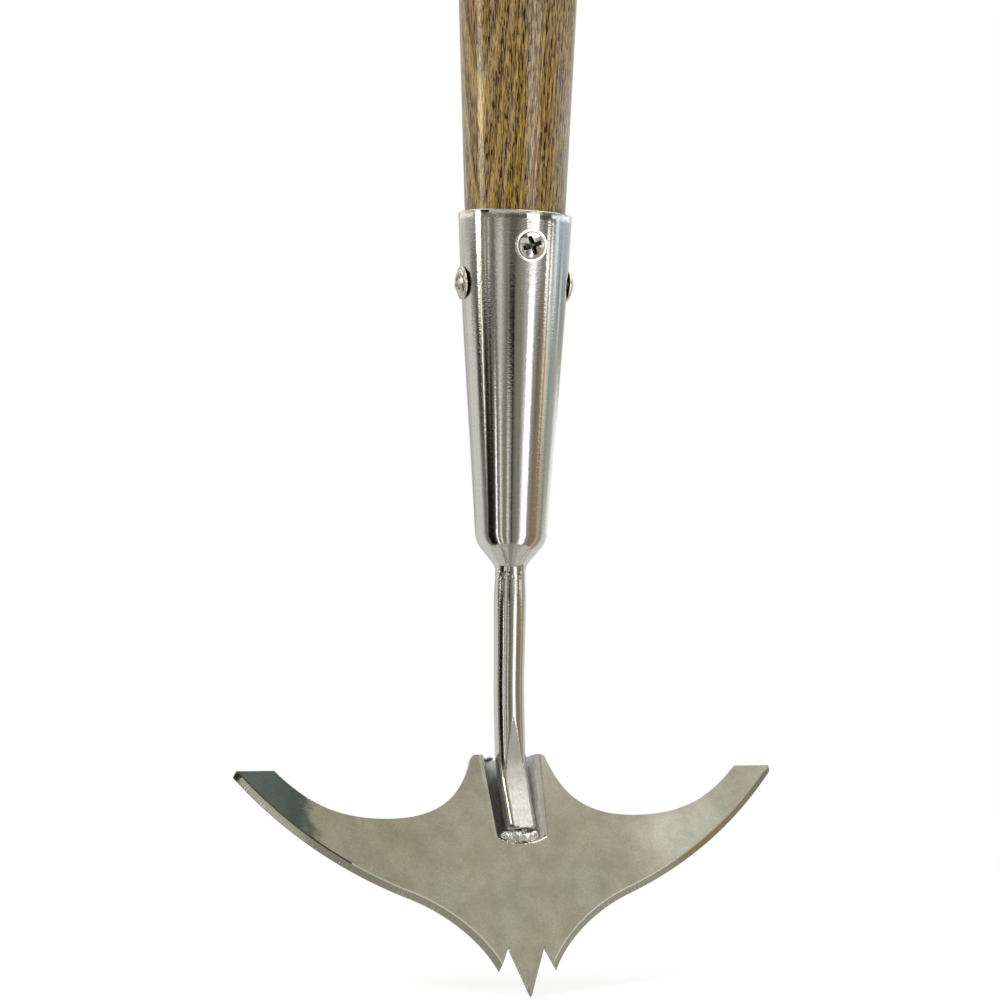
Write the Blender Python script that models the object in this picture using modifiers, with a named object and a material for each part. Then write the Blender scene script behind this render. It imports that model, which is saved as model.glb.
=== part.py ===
"""Wing hoe: a stainless head with swept wings and three teeth, on a long ash handle.

Metres, +Z up along the handle, front of the tool towards -Y, wings along X. The handle's axis
is the Z axis, and the lowest point, the tip of the middle tooth, lies at z = 0. The blade is
drawn in a frame of its own: x across, z up the plate, y from its front face to its back.
"""
import math

import bmesh
import bpy
from mathutils import Matrix, Vector
from mathutils.geometry import interpolate_bezier

MM = 0.001

# Fits
CLEARANCE = 0.3 * MM            # between pieces that touch, or are welded, on the real tool
OVERRUN = 5 * MM                # how far a cutter runs past what it cuts

# Blade plate
BLADE_TILT = math.radians(22)   # the plate leans forward, tip first
BLADE_THICKNESS = 2.0 * MM
BLADE_CROSSING = 66.2 * MM      # height at which the front face crosses the handle's axis
WING_HALF_SPAN = 82.3 * MM
WING_END_HEIGHT = 67.0 * MM     # up the plate, as every height of the outline
WING_END_WIDTH = 12.8 * MM
WING_CORNER_CUT = 1.8 * MM      # blunt corner where the cutting edge meets the wing's end
WING_EDGE_RADIUS = 124 * MM     # cutting edge of a wing, bulging down and out
FLANK_X = 33.0 * MM             # where the wing's edge turns into the hollow flank
FLANK_HEIGHT = 29.3 * MM
FLANK_PULL = 13.4 * MM
TOOTH_PULL = 8.0 * MM
TOOTH_SLOPE = math.radians(66)  # of the flank at the side tooth
SIDE_TOOTH_X = 8.5 * MM
SIDE_TOOTH_HEIGHT = 7.4 * MM
NOTCH_X = 5.3 * MM
NOTCH_HEIGHT = 14.3 * MM
TOP_EDGE_LOW_X = 37.0 * MM      # lowest point of the hollow upper edge
TOP_EDGE_LOW_HEIGHT = 52.4 * MM
EAR_HEIGHT = 71.2 * MM
EAR_HALF_WIDTH = 11.4 * MM
EAR_CORNER_RADIUS = 1.8 * MM
EAR_SLOPE = math.radians(71)
EAR_PULL = 11.5 * MM
HOLLOW_PULL = 15.5 * MM         # pull of the hollow edge's lowest point, to either side
WING_END_SLOPE = math.radians(47)
WING_END_PULL = 12.5 * MM
BEVEL_WIDTH = 1.9 * MM          # ground from the front along the cutting edges
EDGE_LAND = 0.3 * MM            # blunt land left under the bevel

# Groove pressed into the plate for the neck
GROOVE_HALF_WIDTH_TOP = 7.2 * MM
GROOVE_HALF_WIDTH_END = 6.2 * MM
GROOVE_END_HEIGHT = 44.6 * MM
GROOVE_END_SAGITTA = 1.9 * MM
GROOVE_DEPTH = 6.1 * MM         # at the upper edge
GROOVE_SHIFT = 1.25 * MM        # the foot of the groove lies a little to the right

# Neck rod
NECK_RADIUS_TOP = 4.75 * MM
NECK_RADIUS_MIDDLE = 4.5 * MM
NECK_RADIUS_END = 4.4 * MM
NECK_SWELL_DROP = 8.0 * MM      # below the waist, where the rod is thickest
NECK_BEND_RADIUS = 22 * MM
NECK_END_HEIGHT = 48.3 * MM     # up the plate
NECK_LEAN = 2.0 * MM            # the rod's end lies to the right of the handle's axis
NECK_LEAN_START = 22 * MM       # above the blade's crossing, where the lean begins
NECK_LEAN_POWER = 1.5           # how the lean grows down the rod: 1 is straight, more is curved
NECK_FLAT_DEPTH = 0.8 * MM      # ground off the front of the rod's end
NECK_FACET_DEPTH = 0.2 * MM     # of the narrow facet that runs on above the bend
NECK_FACET_RISE = 9.5 * MM      # its upper end, above the blade's crossing
NECK_TOP_STEP = 0.1 * MM        # height of the step from the spigot out to the neck
SPIGOT_RADIUS = 3.3 * MM
SPIGOT_LENGTH = 9.0 * MM        # above the waist, inside the socket's throat

# Socket: rolled cone with a rounded shoulder, drawn in to the waist
WAIST_ABOVE_CROSSING = 53.4 * MM
WAIST_RADIUS = 4.45 * MM
SHOULDER_RADIUS = 10.55 * MM
SHOULDER_SLOPE = math.radians(40)
SHOULDER_OUTER_FILLET = 8.0 * MM
SHOULDER_INNER_FILLET = 4.0 * MM
CONE_LENGTH = 92.4 * MM
MOUTH_RADIUS = 16.5 * MM
SOCKET_WALL = 1.6 * MM
RIM_CHAMFER = 0.25 * MM
COLLAR_HEIGHT = 2.0 * MM        # ring of weld between the socket's lip and the neck
COLLAR_CROWN = 0.08 * MM        # how far the dressed weld stands proud of the neck

# Ash handle
HANDLE_LENGTH = 1500 * MM
HANDLE_RADIUS = 17.5 * MM
HANDLE_TAPER_LENGTH = 66 * MM   # above the socket's mouth, down to the socket's bore
HANDLE_TAPER_EASING = 8 * MM    # length over which the taper eases into the shaft
HANDLE_TAPER_STEP = 0.15 * MM   # radius still to gain there
HANDLE_END_ROUNDING = 7.0 * MM
TENON_END_GAP = 2.0 * MM        # above the socket's inner shoulder
TENON_CHAMFER = 1.0 * MM

# Cross-recess screws: a low dome on a thin flange
SCREW_HEAD_RADIUS = 4.8 * MM
SCREW_HEAD_HEIGHT = 2.2 * MM
SCREW_HEAD_RIM = 0.5 * MM       # upright rim of the flange
SCREW_FLANGE_WIDTH = 1.05 * MM  # from the rim in to the dome
SCREW_FLANGE_RISE = 0.35 * MM
SCREW_DOME_STEP = 0.15 * MM     # upright step at the dome's foot
SCREW_SHANK_RADIUS = 2.1 * MM
SCREW_LENGTH = 13 * MM
SCREW_POINT = 4 * MM
SCREW_UPPER_DROP = 10.1 * MM    # below the rim: the front and back pair
SCREW_LOWER_DROP = 20.2 * MM    # the left and right pair
RECESS_LENGTH = 7.1 * MM        # level with the head's top, as the width
RECESS_WIDTH = 1.5 * MM
RECESS_DEPTH = 1.7 * MM
RECESS_DRAFT = 0.45             # width and length left at the recess's floor
SCREW_TURNS = {                 # how far each was driven: the angle at which its cross stopped
    "screw_front": math.radians(20),
    "screw_back": math.radians(28),
    "screw_left": math.radians(50),
    "screw_right": math.radians(8),
}

# Welds. Each drop, in mm: x, height above the groove's end or the ear, height over the front face,
# and its radii across, up the plate and out of it
END_WELD_DROPS = (
    ((1.7, 2.0, -2.6), (5.6, 2.4, 3.1)),
    ((2.9, 1.8, 0.0), (2.0, 1.6, 1.5)),
    ((0.6, 2.6, -0.6), (2.3, 1.3, 1.6)),
    ((-1.9, 2.4, -1.1), (2.5, 1.4, 1.6)),
    ((4.9, 2.5, -1.2), (2.2, 1.5, 1.7)),
)
TACK_WELD_DROPS = (
    ((-5.5, 0.5, -4.6), (1.7, 1.0, 1.6)),
    ((-4.9, 0.9, -3.7), (1.3, 1.2, 1.1)),
)

# Facets
ROUND_STEPS = 40
SCREW_STEPS = 24
DOME_STEPS = 6
NECK_SIDES_RESOLUTION = 10
EDGE_STEPS = 12
ARC_STEPS = 5
DROP_SEGMENTS = 16
DROP_RINGS = 10
MERGE_DISTANCE = 0.001 * MM
SHARP_ANGLE = math.radians(25)

STAINLESS = {"color": (0.66, 0.66, 0.63), "metallic": 1.0, "roughness": 0.28}
STAINLESS_SATIN = {"color": (0.60, 0.60, 0.55), "metallic": 1.0, "roughness": 0.36}
STAINLESS_POLISHED = {"color": (0.72, 0.72, 0.70), "metallic": 1.0, "roughness": 0.18}
WELD_METAL = {"color": (0.55, 0.55, 0.53), "metallic": 1.0, "roughness": 0.42}
ASH_STAINED = {"color": (0.21, 0.135, 0.06), "metallic": 0.0, "roughness": 0.4}

# Heights that follow from the sizes above
WAIST_Z = BLADE_CROSSING + WAIST_ABOVE_CROSSING
CONE_ANGLE = math.atan((MOUTH_RADIUS - SHOULDER_RADIUS) / CONE_LENGTH)


def fillet_rise(radius, low, high):
    """Radial and axial steps of an arc that turns from one slope to another, off the axis."""
    return radius * abs(math.cos(low) - math.cos(high)), radius * abs(math.sin(high) - math.sin(low))


LOWER_STEP = fillet_rise(SHOULDER_INNER_FILLET, 0.0, SHOULDER_SLOPE)
UPPER_STEP = fillet_rise(SHOULDER_OUTER_FILLET, CONE_ANGLE, SHOULDER_SLOPE)
SLOPE_RISE = (SHOULDER_RADIUS - UPPER_STEP[0] - WAIST_RADIUS - LOWER_STEP[0]) / math.tan(SHOULDER_SLOPE)
SHOULDER_Z = WAIST_Z + LOWER_STEP[1] + SLOPE_RISE + UPPER_STEP[1]
MOUTH_Z = SHOULDER_Z + CONE_LENGTH


def cone_radius(z):
    """Outer radius of the socket's cone at a height."""
    return SHOULDER_RADIUS + (z - SHOULDER_Z) * math.tan(CONE_ANGLE)


# Scene helpers
def clear_scene():
    for obj in list(bpy.data.objects):
        bpy.data.objects.remove(obj)
    for old in list(bpy.data.collections):
        bpy.data.collections.remove(old)


def new_collection(name):
    made = bpy.data.collections.new(name)
    bpy.context.scene.collection.children.link(made)
    return made


def make_material(name, look):
    made = bpy.data.materials.new(name)
    made.use_nodes = True
    shader = made.node_tree.nodes["Principled BSDF"]
    shader.inputs["Base Color"].default_value = (*look["color"], 1.0)
    shader.inputs["Metallic"].default_value = look["metallic"]
    shader.inputs["Roughness"].default_value = look["roughness"]
    made.diffuse_color = (*look["color"], 1.0)
    return made


def new_object(name, mesh, collection, parent=None):
    obj = bpy.data.objects.new(name, mesh)
    collection.objects.link(obj)
    obj.parent = parent
    return obj


def mesh_from_bmesh(name, bm):
    bmesh.ops.recalc_face_normals(bm, faces=bm.faces[:])
    mesh = bpy.data.meshes.new(name)
    bm.to_mesh(mesh)
    bm.free()
    return mesh


def make_cutter(obj):
    obj.hide_render = True
    obj.display_type = "WIRE"
    return obj


def finish_part(obj, look):
    """Give a part its own material and smooth shading with sharp corners."""
    obj.data.materials.append(make_material(obj.name, look))
    obj.data.shade_smooth()
    obj.data.set_sharp_from_angle(angle=SHARP_ANGLE)
    return obj


def boolean(obj, cutter, operation="DIFFERENCE"):
    mod = obj.modifiers.new(cutter.name, "BOOLEAN")
    mod.object = cutter
    mod.operation = operation
    mod.solver = "EXACT"
    return mod


def baked(obj, name, collection):
    """A plain mesh object with the modifiers of another, which is removed."""
    bpy.context.view_layer.update()
    graph = bpy.context.evaluated_depsgraph_get()
    mesh = bpy.data.meshes.new_from_object(obj.evaluated_get(graph))
    bm = bmesh.new()
    bm.from_mesh(mesh)
    bmesh.ops.remove_doubles(bm, verts=bm.verts[:], dist=MERGE_DISTANCE)
    bm.to_mesh(mesh)
    bm.free()
    place, parent = obj.matrix_world.copy(), obj.parent
    bpy.data.objects.remove(obj)
    made = new_object(name, mesh, collection, parent)
    made.matrix_world = place
    return made


def turned(name, profile, collection, steps=ROUND_STEPS):
    """A turned shape: the profile's (radius, z) points run down its outer side."""
    mesh = bpy.data.meshes.new(name)
    closed = profile[0][0] > 0
    count = len(profile)
    edges = [(i, (i + 1) % count) for i in range(count if closed else count - 1)]
    mesh.from_pydata([(r, 0.0, z) for r, z in profile], edges, [])
    obj = new_object(name, mesh, collection)
    mod = obj.modifiers.new("turn", "SCREW")
    mod.steps = mod.render_steps = steps
    mod.use_merge_vertices = True
    mod.merge_threshold = MERGE_DISTANCE
    return obj


def arc(centre, radius, start, end, steps=ARC_STEPS):
    """Points of an arc in the plane of a profile or outline, both ends included."""
    return [
        (centre[0] + radius * math.cos(a), centre[1] + radius * math.sin(a))
        for a in (start + (end - start) * i / steps for i in range(steps + 1))
    ]


def bezier(start, pull_start, pull_end, end, steps=EDGE_STEPS):
    """Points of one curve between two ends, whose pulls are the offsets of its handles."""
    first, last = Vector((*start, 0.0)), Vector((*end, 0.0))
    knots = (first, first + Vector((*pull_start, 0.0)), last + Vector((*pull_end, 0.0)), last)
    return [(p.x, p.y) for p in interpolate_bezier(*knots, steps + 1)]


def towards(angle, length):
    return (length * math.cos(angle), length * math.sin(angle))


# Blade
def plate_tip():
    """The front edge of the middle tooth's tip, so placed that the tip's back edge is at z = 0."""
    rise = BLADE_THICKNESS * math.sin(BLADE_TILT)
    return Vector((0.0, -(BLADE_CROSSING - rise) * math.tan(BLADE_TILT), rise))


def blade_frame(collection):
    """The plate's frame: its z axis runs up the front face from the middle tooth's tip."""
    frame = bpy.data.objects.new("blade_frame", None)
    collection.objects.link(frame)
    frame.rotation_euler = (-BLADE_TILT, 0.0, 0.0)
    frame.location = plate_tip()
    bpy.context.view_layer.update()
    return frame


def cutting_edge():
    """Right-hand cutting edge from the wing's end to the side tooth, with its inward normals."""
    tip, turn_in = Vector((WING_HALF_SPAN, WING_END_HEIGHT)), Vector((FLANK_X, FLANK_HEIGHT))
    chord = tip - turn_in
    rise = math.sqrt(WING_EDGE_RADIUS**2 - (chord.length / 2) ** 2)
    centre = (tip + turn_in) / 2 + Vector((-chord.y, chord.x)).normalized() * rise
    end_angle = math.asin((tip.x - centre.x) / WING_EDGE_RADIUS)
    flank_angle = math.asin((turn_in.x - centre.x) / WING_EDGE_RADIUS)
    blunt_angle = end_angle - WING_CORNER_CUT / WING_EDGE_RADIUS
    down = math.pi / 2
    wing = arc(centre, WING_EDGE_RADIUS, blunt_angle - down, flank_angle - down, 2 * EDGE_STEPS)
    wing.insert(0, (tip.x - WING_CORNER_CUT, tip.y))
    flank = bezier(
        wing[-1],
        towards(math.pi + flank_angle, FLANK_PULL),
        towards(TOOTH_SLOPE, TOOTH_PULL),
        (SIDE_TOOTH_X, SIDE_TOOTH_HEIGHT),
    )
    points = [Vector(p) for p in wing + flank[1:]]
    normals = []
    for i, _ in enumerate(points):
        run = points[min(i + 1, len(points) - 1)] - points[max(i - 1, 0)]
        normals.append(Vector((run.y, -run.x)).normalized())
    return points, normals


def ground_edge(points, normals):
    """The bevel's upper line: the cutting edge moved in, and ended on the plate's own edges."""
    moved = [p + n * BEVEL_WIDTH for p, n in zip(points, normals)]
    last = points[-1]
    moved[0] = Vector((WING_HALF_SPAN - BEVEL_WIDTH / abs(normals[1].x), WING_END_HEIGHT))
    up = (Vector((NOTCH_X, NOTCH_HEIGHT)) - last).normalized()
    moved[-1] = last + up * (BEVEL_WIDTH / up.dot(normals[-1]))
    return moved


def upper_outline():
    """The rest of the right half's outline, from the ear's top on the centre line to the wing."""
    ear_in = (EAR_HALF_WIDTH - EAR_CORNER_RADIUS, EAR_HEIGHT - EAR_CORNER_RADIUS)
    corner = arc(ear_in, EAR_CORNER_RADIUS, math.pi / 2, math.pi / 2 - EAR_SLOPE)
    low = (TOP_EDGE_LOW_X, TOP_EDGE_LOW_HEIGHT)
    inner = bezier(corner[-1], towards(-EAR_SLOPE, EAR_PULL), (-HOLLOW_PULL, 0.0), low)
    wing_end = (WING_HALF_SPAN - WING_END_WIDTH, WING_END_HEIGHT)
    outer = bezier(low, (HOLLOW_PULL, 0.0), towards(math.pi + WING_END_SLOPE, WING_END_PULL), wing_end)
    return [(0.0, EAR_HEIGHT)] + corner + inner[1:] + outer[1:]


def blade_plate(collection, frame):
    """Half the plate, open at the centre line: front, bevel foot and back outlines, lofted."""
    edge, normals = cutting_edge()
    ground = ground_edge(edge, normals)
    upper = [Vector(p) for p in upper_outline()]
    teeth = [Vector((NOTCH_X, NOTCH_HEIGHT)), Vector((0.0, 0.0))]
    front = upper + ground + teeth
    rest = upper + edge + teeth
    bm = bmesh.new()
    rings = [
        [bm.verts.new((p.x, y, p.y)) for p in outline]
        for outline, y in ((front, 0.0), (rest, BLADE_THICKNESS - EDGE_LAND), (rest, BLADE_THICKNESS))
    ]
    bm.faces.new(rings[0])
    bm.faces.new(reversed(rings[-1]))
    for above, below in zip(rings, rings[1:]):
        for i in range(len(above) - 1):
            bm.faces.new((above[i + 1], above[i], below[i], below[i + 1]))
    obj = new_object("blade", mesh_from_bmesh("blade", bm), collection, frame)
    mirror = obj.modifiers.new("other half", "MIRROR")
    mirror.merge_threshold = MERGE_DISTANCE
    return obj


def groove_half_width(height):
    """Half width of the groove at a height up the plate."""
    share = (height - GROOVE_END_HEIGHT) / (EAR_HEIGHT - GROOVE_END_HEIGHT)
    return GROOVE_HALF_WIDTH_END + (GROOVE_HALF_WIDTH_TOP - GROOVE_HALF_WIDTH_END) * share


def groove_floor(height):
    """Depth of the groove's floor under the front face."""
    return groove_half_width(height) * GROOVE_DEPTH / GROOVE_HALF_WIDTH_TOP


def groove_form(name, grow, top, collection, frame):
    """The stamp that presses the groove: a turned bar with a low domed end, flattened in depth."""
    end, side = GROOVE_END_HEIGHT - grow, GROOVE_END_HEIGHT + GROOVE_END_SAGITTA
    foot = groove_half_width(side) + grow
    rise = side - end
    radius = (foot**2 + rise**2) / (2 * rise)
    sweep = math.asin(foot / radius)
    dome = arc((0.0, end + radius), radius, sweep - math.pi / 2, -math.pi / 2, ARC_STEPS)
    dome[-1] = (0.0, end)
    profile = [(0.0, top), (groove_half_width(top) + grow, top)] + dome
    bar = turned(name, profile, collection)
    lean = Matrix.Rotation(math.atan2(GROOVE_SHIFT, EAR_HEIGHT - GROOVE_END_HEIGHT), 4, "Y")
    about = Matrix.Translation((GROOVE_SHIFT, 0.0, GROOVE_END_HEIGHT))
    flatten = Matrix.Diagonal((1.0, GROOVE_DEPTH / GROOVE_HALF_WIDTH_TOP, 1.0, 1.0))
    form = baked(bar, name, collection)
    form.data.transform(about @ lean.inverted() @ about.inverted()
                        @ Matrix.Translation((GROOVE_SHIFT, 0.0, 0.0)) @ flatten)
    form.parent = frame
    return make_cutter(form)


def keep_side(obj, point, normal):
    """Cut an object's mesh by a plane, keep what the normal points away from, close the cut."""
    bm = bmesh.new()
    bm.from_mesh(obj.data)
    geometry = bm.verts[:] + bm.edges[:] + bm.faces[:]
    cut = bmesh.ops.bisect_plane(bm, geom=geometry, plane_co=point, plane_no=normal, clear_outer=True)
    rim = [e for e in cut["geom_cut"] if isinstance(e, bmesh.types.BMEdge)]
    bmesh.ops.edgenet_fill(bm, edges=rim)
    bm.to_mesh(obj.data)
    bm.free()


def build_blade(parts, cutters, frame):
    plate = blade_plate(parts, frame)
    bulge = groove_form("groove_bulge", BLADE_THICKNESS, EAR_HEIGHT + OVERRUN, cutters, frame)
    keep_side(bulge, (0.0, 0.0, EAR_HEIGHT), (0.0, 0.0, 1.0))
    keep_side(bulge, (0.0, BLADE_THICKNESS / 2, 0.0), (0.0, -1.0, 0.0))
    groove = groove_form("groove_hollow", 0.0, EAR_HEIGHT + OVERRUN, cutters, frame)
    boolean(plate, bulge, "UNION")
    boolean(plate, groove)
    return finish_part(baked(plate, "blade", parts), STAINLESS_SATIN)


# Neck
def on_plate(height, depth):
    """World place on the blade's centre line, up the plate and under its front face."""
    up = Vector((0.0, math.sin(BLADE_TILT), math.cos(BLADE_TILT)))
    inward = Vector((0.0, math.cos(BLADE_TILT), -math.sin(BLADE_TILT)))
    return plate_tip() + up * height + inward * depth


def neck_depth(height):
    """Depth of the rod's centre under the front face, seated on the groove's floor."""
    return groove_floor(height) - CLEARANCE - NECK_RADIUS_END


def neck_route():
    """Centre points and radii of the neck, from its spigot down to its end in the groove."""
    end = on_plate(NECK_END_HEIGHT, neck_depth(NECK_END_HEIGHT))
    upper = on_plate(EAR_HEIGHT, neck_depth(EAR_HEIGHT))
    run = (upper - end).normalized()
    corner = end - run * (end.y / run.y)
    turn = math.atan2(run.y, run.z)
    tangent = NECK_BEND_RADIUS * math.tan(turn / 2)
    centre = Vector((0.0, -NECK_BEND_RADIUS, corner.z + tangent))
    bend = [
        Vector((0.0, centre.y + NECK_BEND_RADIUS * math.cos(a), centre.z - NECK_BEND_RADIUS * math.sin(a)))
        for a in (turn * i / ARC_STEPS for i in range(ARC_STEPS + 1))
    ]
    lean_top = BLADE_CROSSING + NECK_LEAN_START

    def leaned(point):
        share = max(0.0, (lean_top - point.z) / (lean_top - end.z))
        return point + Vector((NECK_LEAN * share**NECK_LEAN_POWER, 0.0, 0.0))

    collar_foot = WAIST_Z - COLLAR_HEIGHT - 2 * CLEARANCE
    straight = [
        (WAIST_Z + SPIGOT_LENGTH, SPIGOT_RADIUS),
        (collar_foot, SPIGOT_RADIUS),
        (collar_foot - NECK_TOP_STEP, WAIST_RADIUS),
        (WAIST_Z - NECK_SWELL_DROP, NECK_RADIUS_TOP),
        (lean_top, NECK_RADIUS_MIDDLE),
    ]
    points = [(Vector((0.0, 0.0, z)), r) for z, r in straight]
    points += [(leaned(p), NECK_RADIUS_MIDDLE) for p in bend]
    points.append((leaned((bend[-1] + end) / 2), NECK_RADIUS_END))
    points.append((leaned(end), NECK_RADIUS_END))
    return points


def neck_rod(name, grow, collection):
    """The neck as a tube along its route, made a mesh; grow widens it for a cutter."""
    curve = bpy.data.curves.new(name, "CURVE")
    curve.dimensions = "3D"
    curve.bevel_depth = 1.0
    curve.bevel_resolution = NECK_SIDES_RESOLUTION
    curve.use_fill_caps = True
    spline = curve.splines.new("POLY")
    route = neck_route()
    spline.points.add(len(route) - 1)
    for knot, (place, radius) in zip(spline.points, route):
        knot.co = (*place, 1.0)
        knot.radius = radius + grow
    return baked(new_object(name, curve, collection), name, collection)


def neck_grinder(collection):
    """What is ground off the neck's front: a flat along the blade, and a facet that runs out."""
    flat = neck_depth(NECK_END_HEIGHT) - NECK_RADIUS_END + NECK_FLAT_DEPTH
    facet = NECK_FACET_DEPTH - NECK_RADIUS_MIDDLE
    low, high = on_plate(NECK_END_HEIGHT - OVERRUN, flat), on_plate(EAR_HEIGHT, flat)
    share = (facet - low.y) / (high.y - low.y)
    corner_z = low.z + (high.z - low.z) * share
    top = BLADE_CROSSING + NECK_FACET_RISE
    skin = facet - NECK_FACET_DEPTH
    away = low.y - NECK_RADIUS_TOP - OVERRUN
    outline = [(low.y, low.z), (facet, corner_z), (skin, top), (away, top), (away, low.z)]
    curve = bpy.data.curves.new("neck_grinder", "CURVE")
    curve.dimensions = "2D"
    curve.fill_mode = "BOTH"
    curve.extrude = 2 * NECK_RADIUS_TOP
    spline = curve.splines.new("POLY")
    spline.points.add(len(outline) - 1)
    for knot, (y, z) in zip(spline.points, outline):
        knot.co = (y, z, 0.0, 1.0)
    spline.use_cyclic_u = True
    slab = new_object("neck_grinder", curve, collection)
    slab.matrix_world = Matrix(((0, 0, 1, NECK_LEAN / 2), (1, 0, 0, 0), (0, 1, 0, 0), (0, 0, 0, 1)))
    return make_cutter(baked(slab, "neck_grinder", collection))


def build_neck(parts, cutters):
    neck = neck_rod("neck", 0.0, parts)
    boolean(neck, neck_grinder(cutters))
    return finish_part(baked(neck, "neck", parts), STAINLESS)


# Socket
def socket_outer():
    """The socket's outer line, from its mouth down to the waist."""
    upper_centre = (SHOULDER_RADIUS - SHOULDER_OUTER_FILLET * math.cos(CONE_ANGLE),
                    SHOULDER_Z + SHOULDER_OUTER_FILLET * math.sin(CONE_ANGLE))
    lower_centre = (WAIST_RADIUS + SHOULDER_INNER_FILLET, WAIST_Z)
    shoulder = arc(upper_centre, SHOULDER_OUTER_FILLET, -CONE_ANGLE, -SHOULDER_SLOPE)
    waist = arc(lower_centre, SHOULDER_INNER_FILLET, math.pi - SHOULDER_SLOPE, math.pi)
    rim = [(MOUTH_RADIUS - RIM_CHAMFER, MOUTH_Z), (MOUTH_RADIUS, MOUTH_Z - RIM_CHAMFER)]
    return rim + shoulder + waist


def socket_inner():
    """The socket's inner line, from the waist up to the mouth."""
    bore = SPIGOT_RADIUS + CLEARANCE
    throat_z = WAIST_Z + LOWER_STEP[1]
    slope, cone = math.tan(SHOULDER_SLOPE), math.tan(CONE_ANGLE)
    foot_at_throat = cone_radius(throat_z) - SOCKET_WALL
    rise = (foot_at_throat - bore) / (slope - cone)
    foot = (bore + slope * rise, throat_z + rise)
    mouth = MOUTH_RADIUS - SOCKET_WALL
    return [(bore, WAIST_Z), (bore, throat_z), foot, (mouth, MOUTH_Z - RIM_CHAMFER),
            (mouth + RIM_CHAMFER, MOUTH_Z)]


def screw_places():
    """Name, turn about the handle and height of each screw; the front one faces -Y."""
    upper, lower = MOUTH_Z - SCREW_UPPER_DROP, MOUTH_Z - SCREW_LOWER_DROP
    return (
        ("screw_front", -math.pi / 2, upper),
        ("screw_back", math.pi / 2, upper),
        ("screw_left", math.pi, lower),
        ("screw_right", 0.0, lower),
    )


def screw_matrix(name, turn, z):
    """Local +Z is the screw's outward axis, square to the socket's skin, from the head's seat."""
    seat = Matrix.Translation((cone_radius(z), 0.0, z))
    outward = Matrix.Rotation(math.pi / 2 + CONE_ANGLE, 4, "Y")
    lifted = Matrix.Translation((0.0, 0.0, CLEARANCE))
    driven = Matrix.Rotation(SCREW_TURNS[name], 4, "Z")
    return Matrix.Rotation(turn, 4, "Z") @ seat @ outward @ lifted @ driven


def build_socket(parts, drills):
    socket = turned("socket", socket_outer() + socket_inner(), parts)
    for drill in drills:
        boolean(socket, drill)
    return finish_part(baked(socket, "socket", parts), STAINLESS)


def build_collar_weld(parts):
    """Ring of weld metal around the spigot, dressed flush between socket and neck."""
    top, foot = WAIST_Z - CLEARANCE, WAIST_Z - CLEARANCE - COLLAR_HEIGHT
    bore = SPIGOT_RADIUS + CLEARANCE
    crown = (WAIST_RADIUS + COLLAR_CROWN, (top + foot) / 2)
    profile = [(WAIST_RADIUS, top), crown, (WAIST_RADIUS, foot), (bore, foot), (bore, top)]
    ring = baked(turned("collar_weld", profile, parts), "collar_weld", parts)
    return finish_part(ring, WELD_METAL)


# Handle
def handle_profile():
    """Handle radii, from the rounded upper end down to the tenon's end in the socket."""
    inner = socket_inner()
    tenon_foot = inner[2][1] + TENON_END_GAP
    top = tenon_foot + HANDLE_LENGTH
    fit = SOCKET_WALL + CLEARANCE
    rounding = arc((HANDLE_RADIUS - HANDLE_END_ROUNDING, top - HANDLE_END_ROUNDING),
                   HANDLE_END_ROUNDING, math.pi / 2, 0.0)
    shaft = [
        (HANDLE_RADIUS, MOUTH_Z + HANDLE_TAPER_LENGTH + HANDLE_TAPER_EASING),
        (HANDLE_RADIUS - HANDLE_TAPER_STEP, MOUTH_Z + HANDLE_TAPER_LENGTH),
        (MOUTH_RADIUS - fit, MOUTH_Z),
    ]
    chamfer_z = tenon_foot + TENON_CHAMFER
    tenon = [
        (cone_radius(chamfer_z) - fit, chamfer_z),
        (cone_radius(tenon_foot) - fit - TENON_CHAMFER, tenon_foot),
    ]
    return [(0.0, top)] + rounding + shaft + tenon + [(0.0, tenon_foot)]


def build_handle(parts, drills):
    handle = turned("handle", handle_profile(), parts)
    for drill in drills:
        boolean(handle, drill)
    return finish_part(baked(handle, "handle", parts), ASH_STAINED)


# Screws
def screw_profile():
    """Dome, flange, shank and point; z = 0 is the head's seat and the shank runs down."""
    dome_radius = SCREW_HEAD_RADIUS - SCREW_FLANGE_WIDTH
    flange_top = SCREW_HEAD_RIM + SCREW_FLANGE_RISE
    rise = SCREW_HEAD_HEIGHT - flange_top - SCREW_DOME_STEP
    radius = (dome_radius**2 + rise**2) / (2 * rise)
    sweep = math.asin(dome_radius / radius)
    centre = (0.0, SCREW_HEAD_HEIGHT - radius)
    dome = arc(centre, radius, math.pi / 2, math.pi / 2 - sweep, DOME_STEPS)
    dome[0] = (0.0, SCREW_HEAD_HEIGHT)
    flange = [(dome_radius, flange_top), (SCREW_HEAD_RADIUS, SCREW_HEAD_RIM), (SCREW_HEAD_RADIUS, 0.0)]
    shank = SCREW_SHANK_RADIUS
    return dome + flange + [(shank, 0.0), (shank, SCREW_POINT - SCREW_LENGTH), (0.0, -SCREW_LENGTH)]


def recess_bar(name, turn, collection):
    """One bar of the cross recess, narrowing towards its floor."""
    bpy.ops.mesh.primitive_cube_add(size=1.0)
    bar = bpy.context.object
    bar.name = name
    for home in list(bar.users_collection):
        home.objects.unlink(bar)
    collection.objects.link(bar)
    middle = Matrix.Translation((0.0, 0.0, SCREW_HEAD_HEIGHT))
    size = Matrix.Diagonal((RECESS_LENGTH, RECESS_WIDTH, 2 * RECESS_DEPTH, 1.0))
    bar.data.transform(Matrix.Rotation(turn, 4, "Z") @ middle @ size)
    for vertex in bar.data.vertices:
        share = RECESS_DRAFT if vertex.co.z < SCREW_HEAD_HEIGHT else 2 - RECESS_DRAFT
        vertex.co.x *= share
        vertex.co.y *= share
    return make_cutter(bar)


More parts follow.
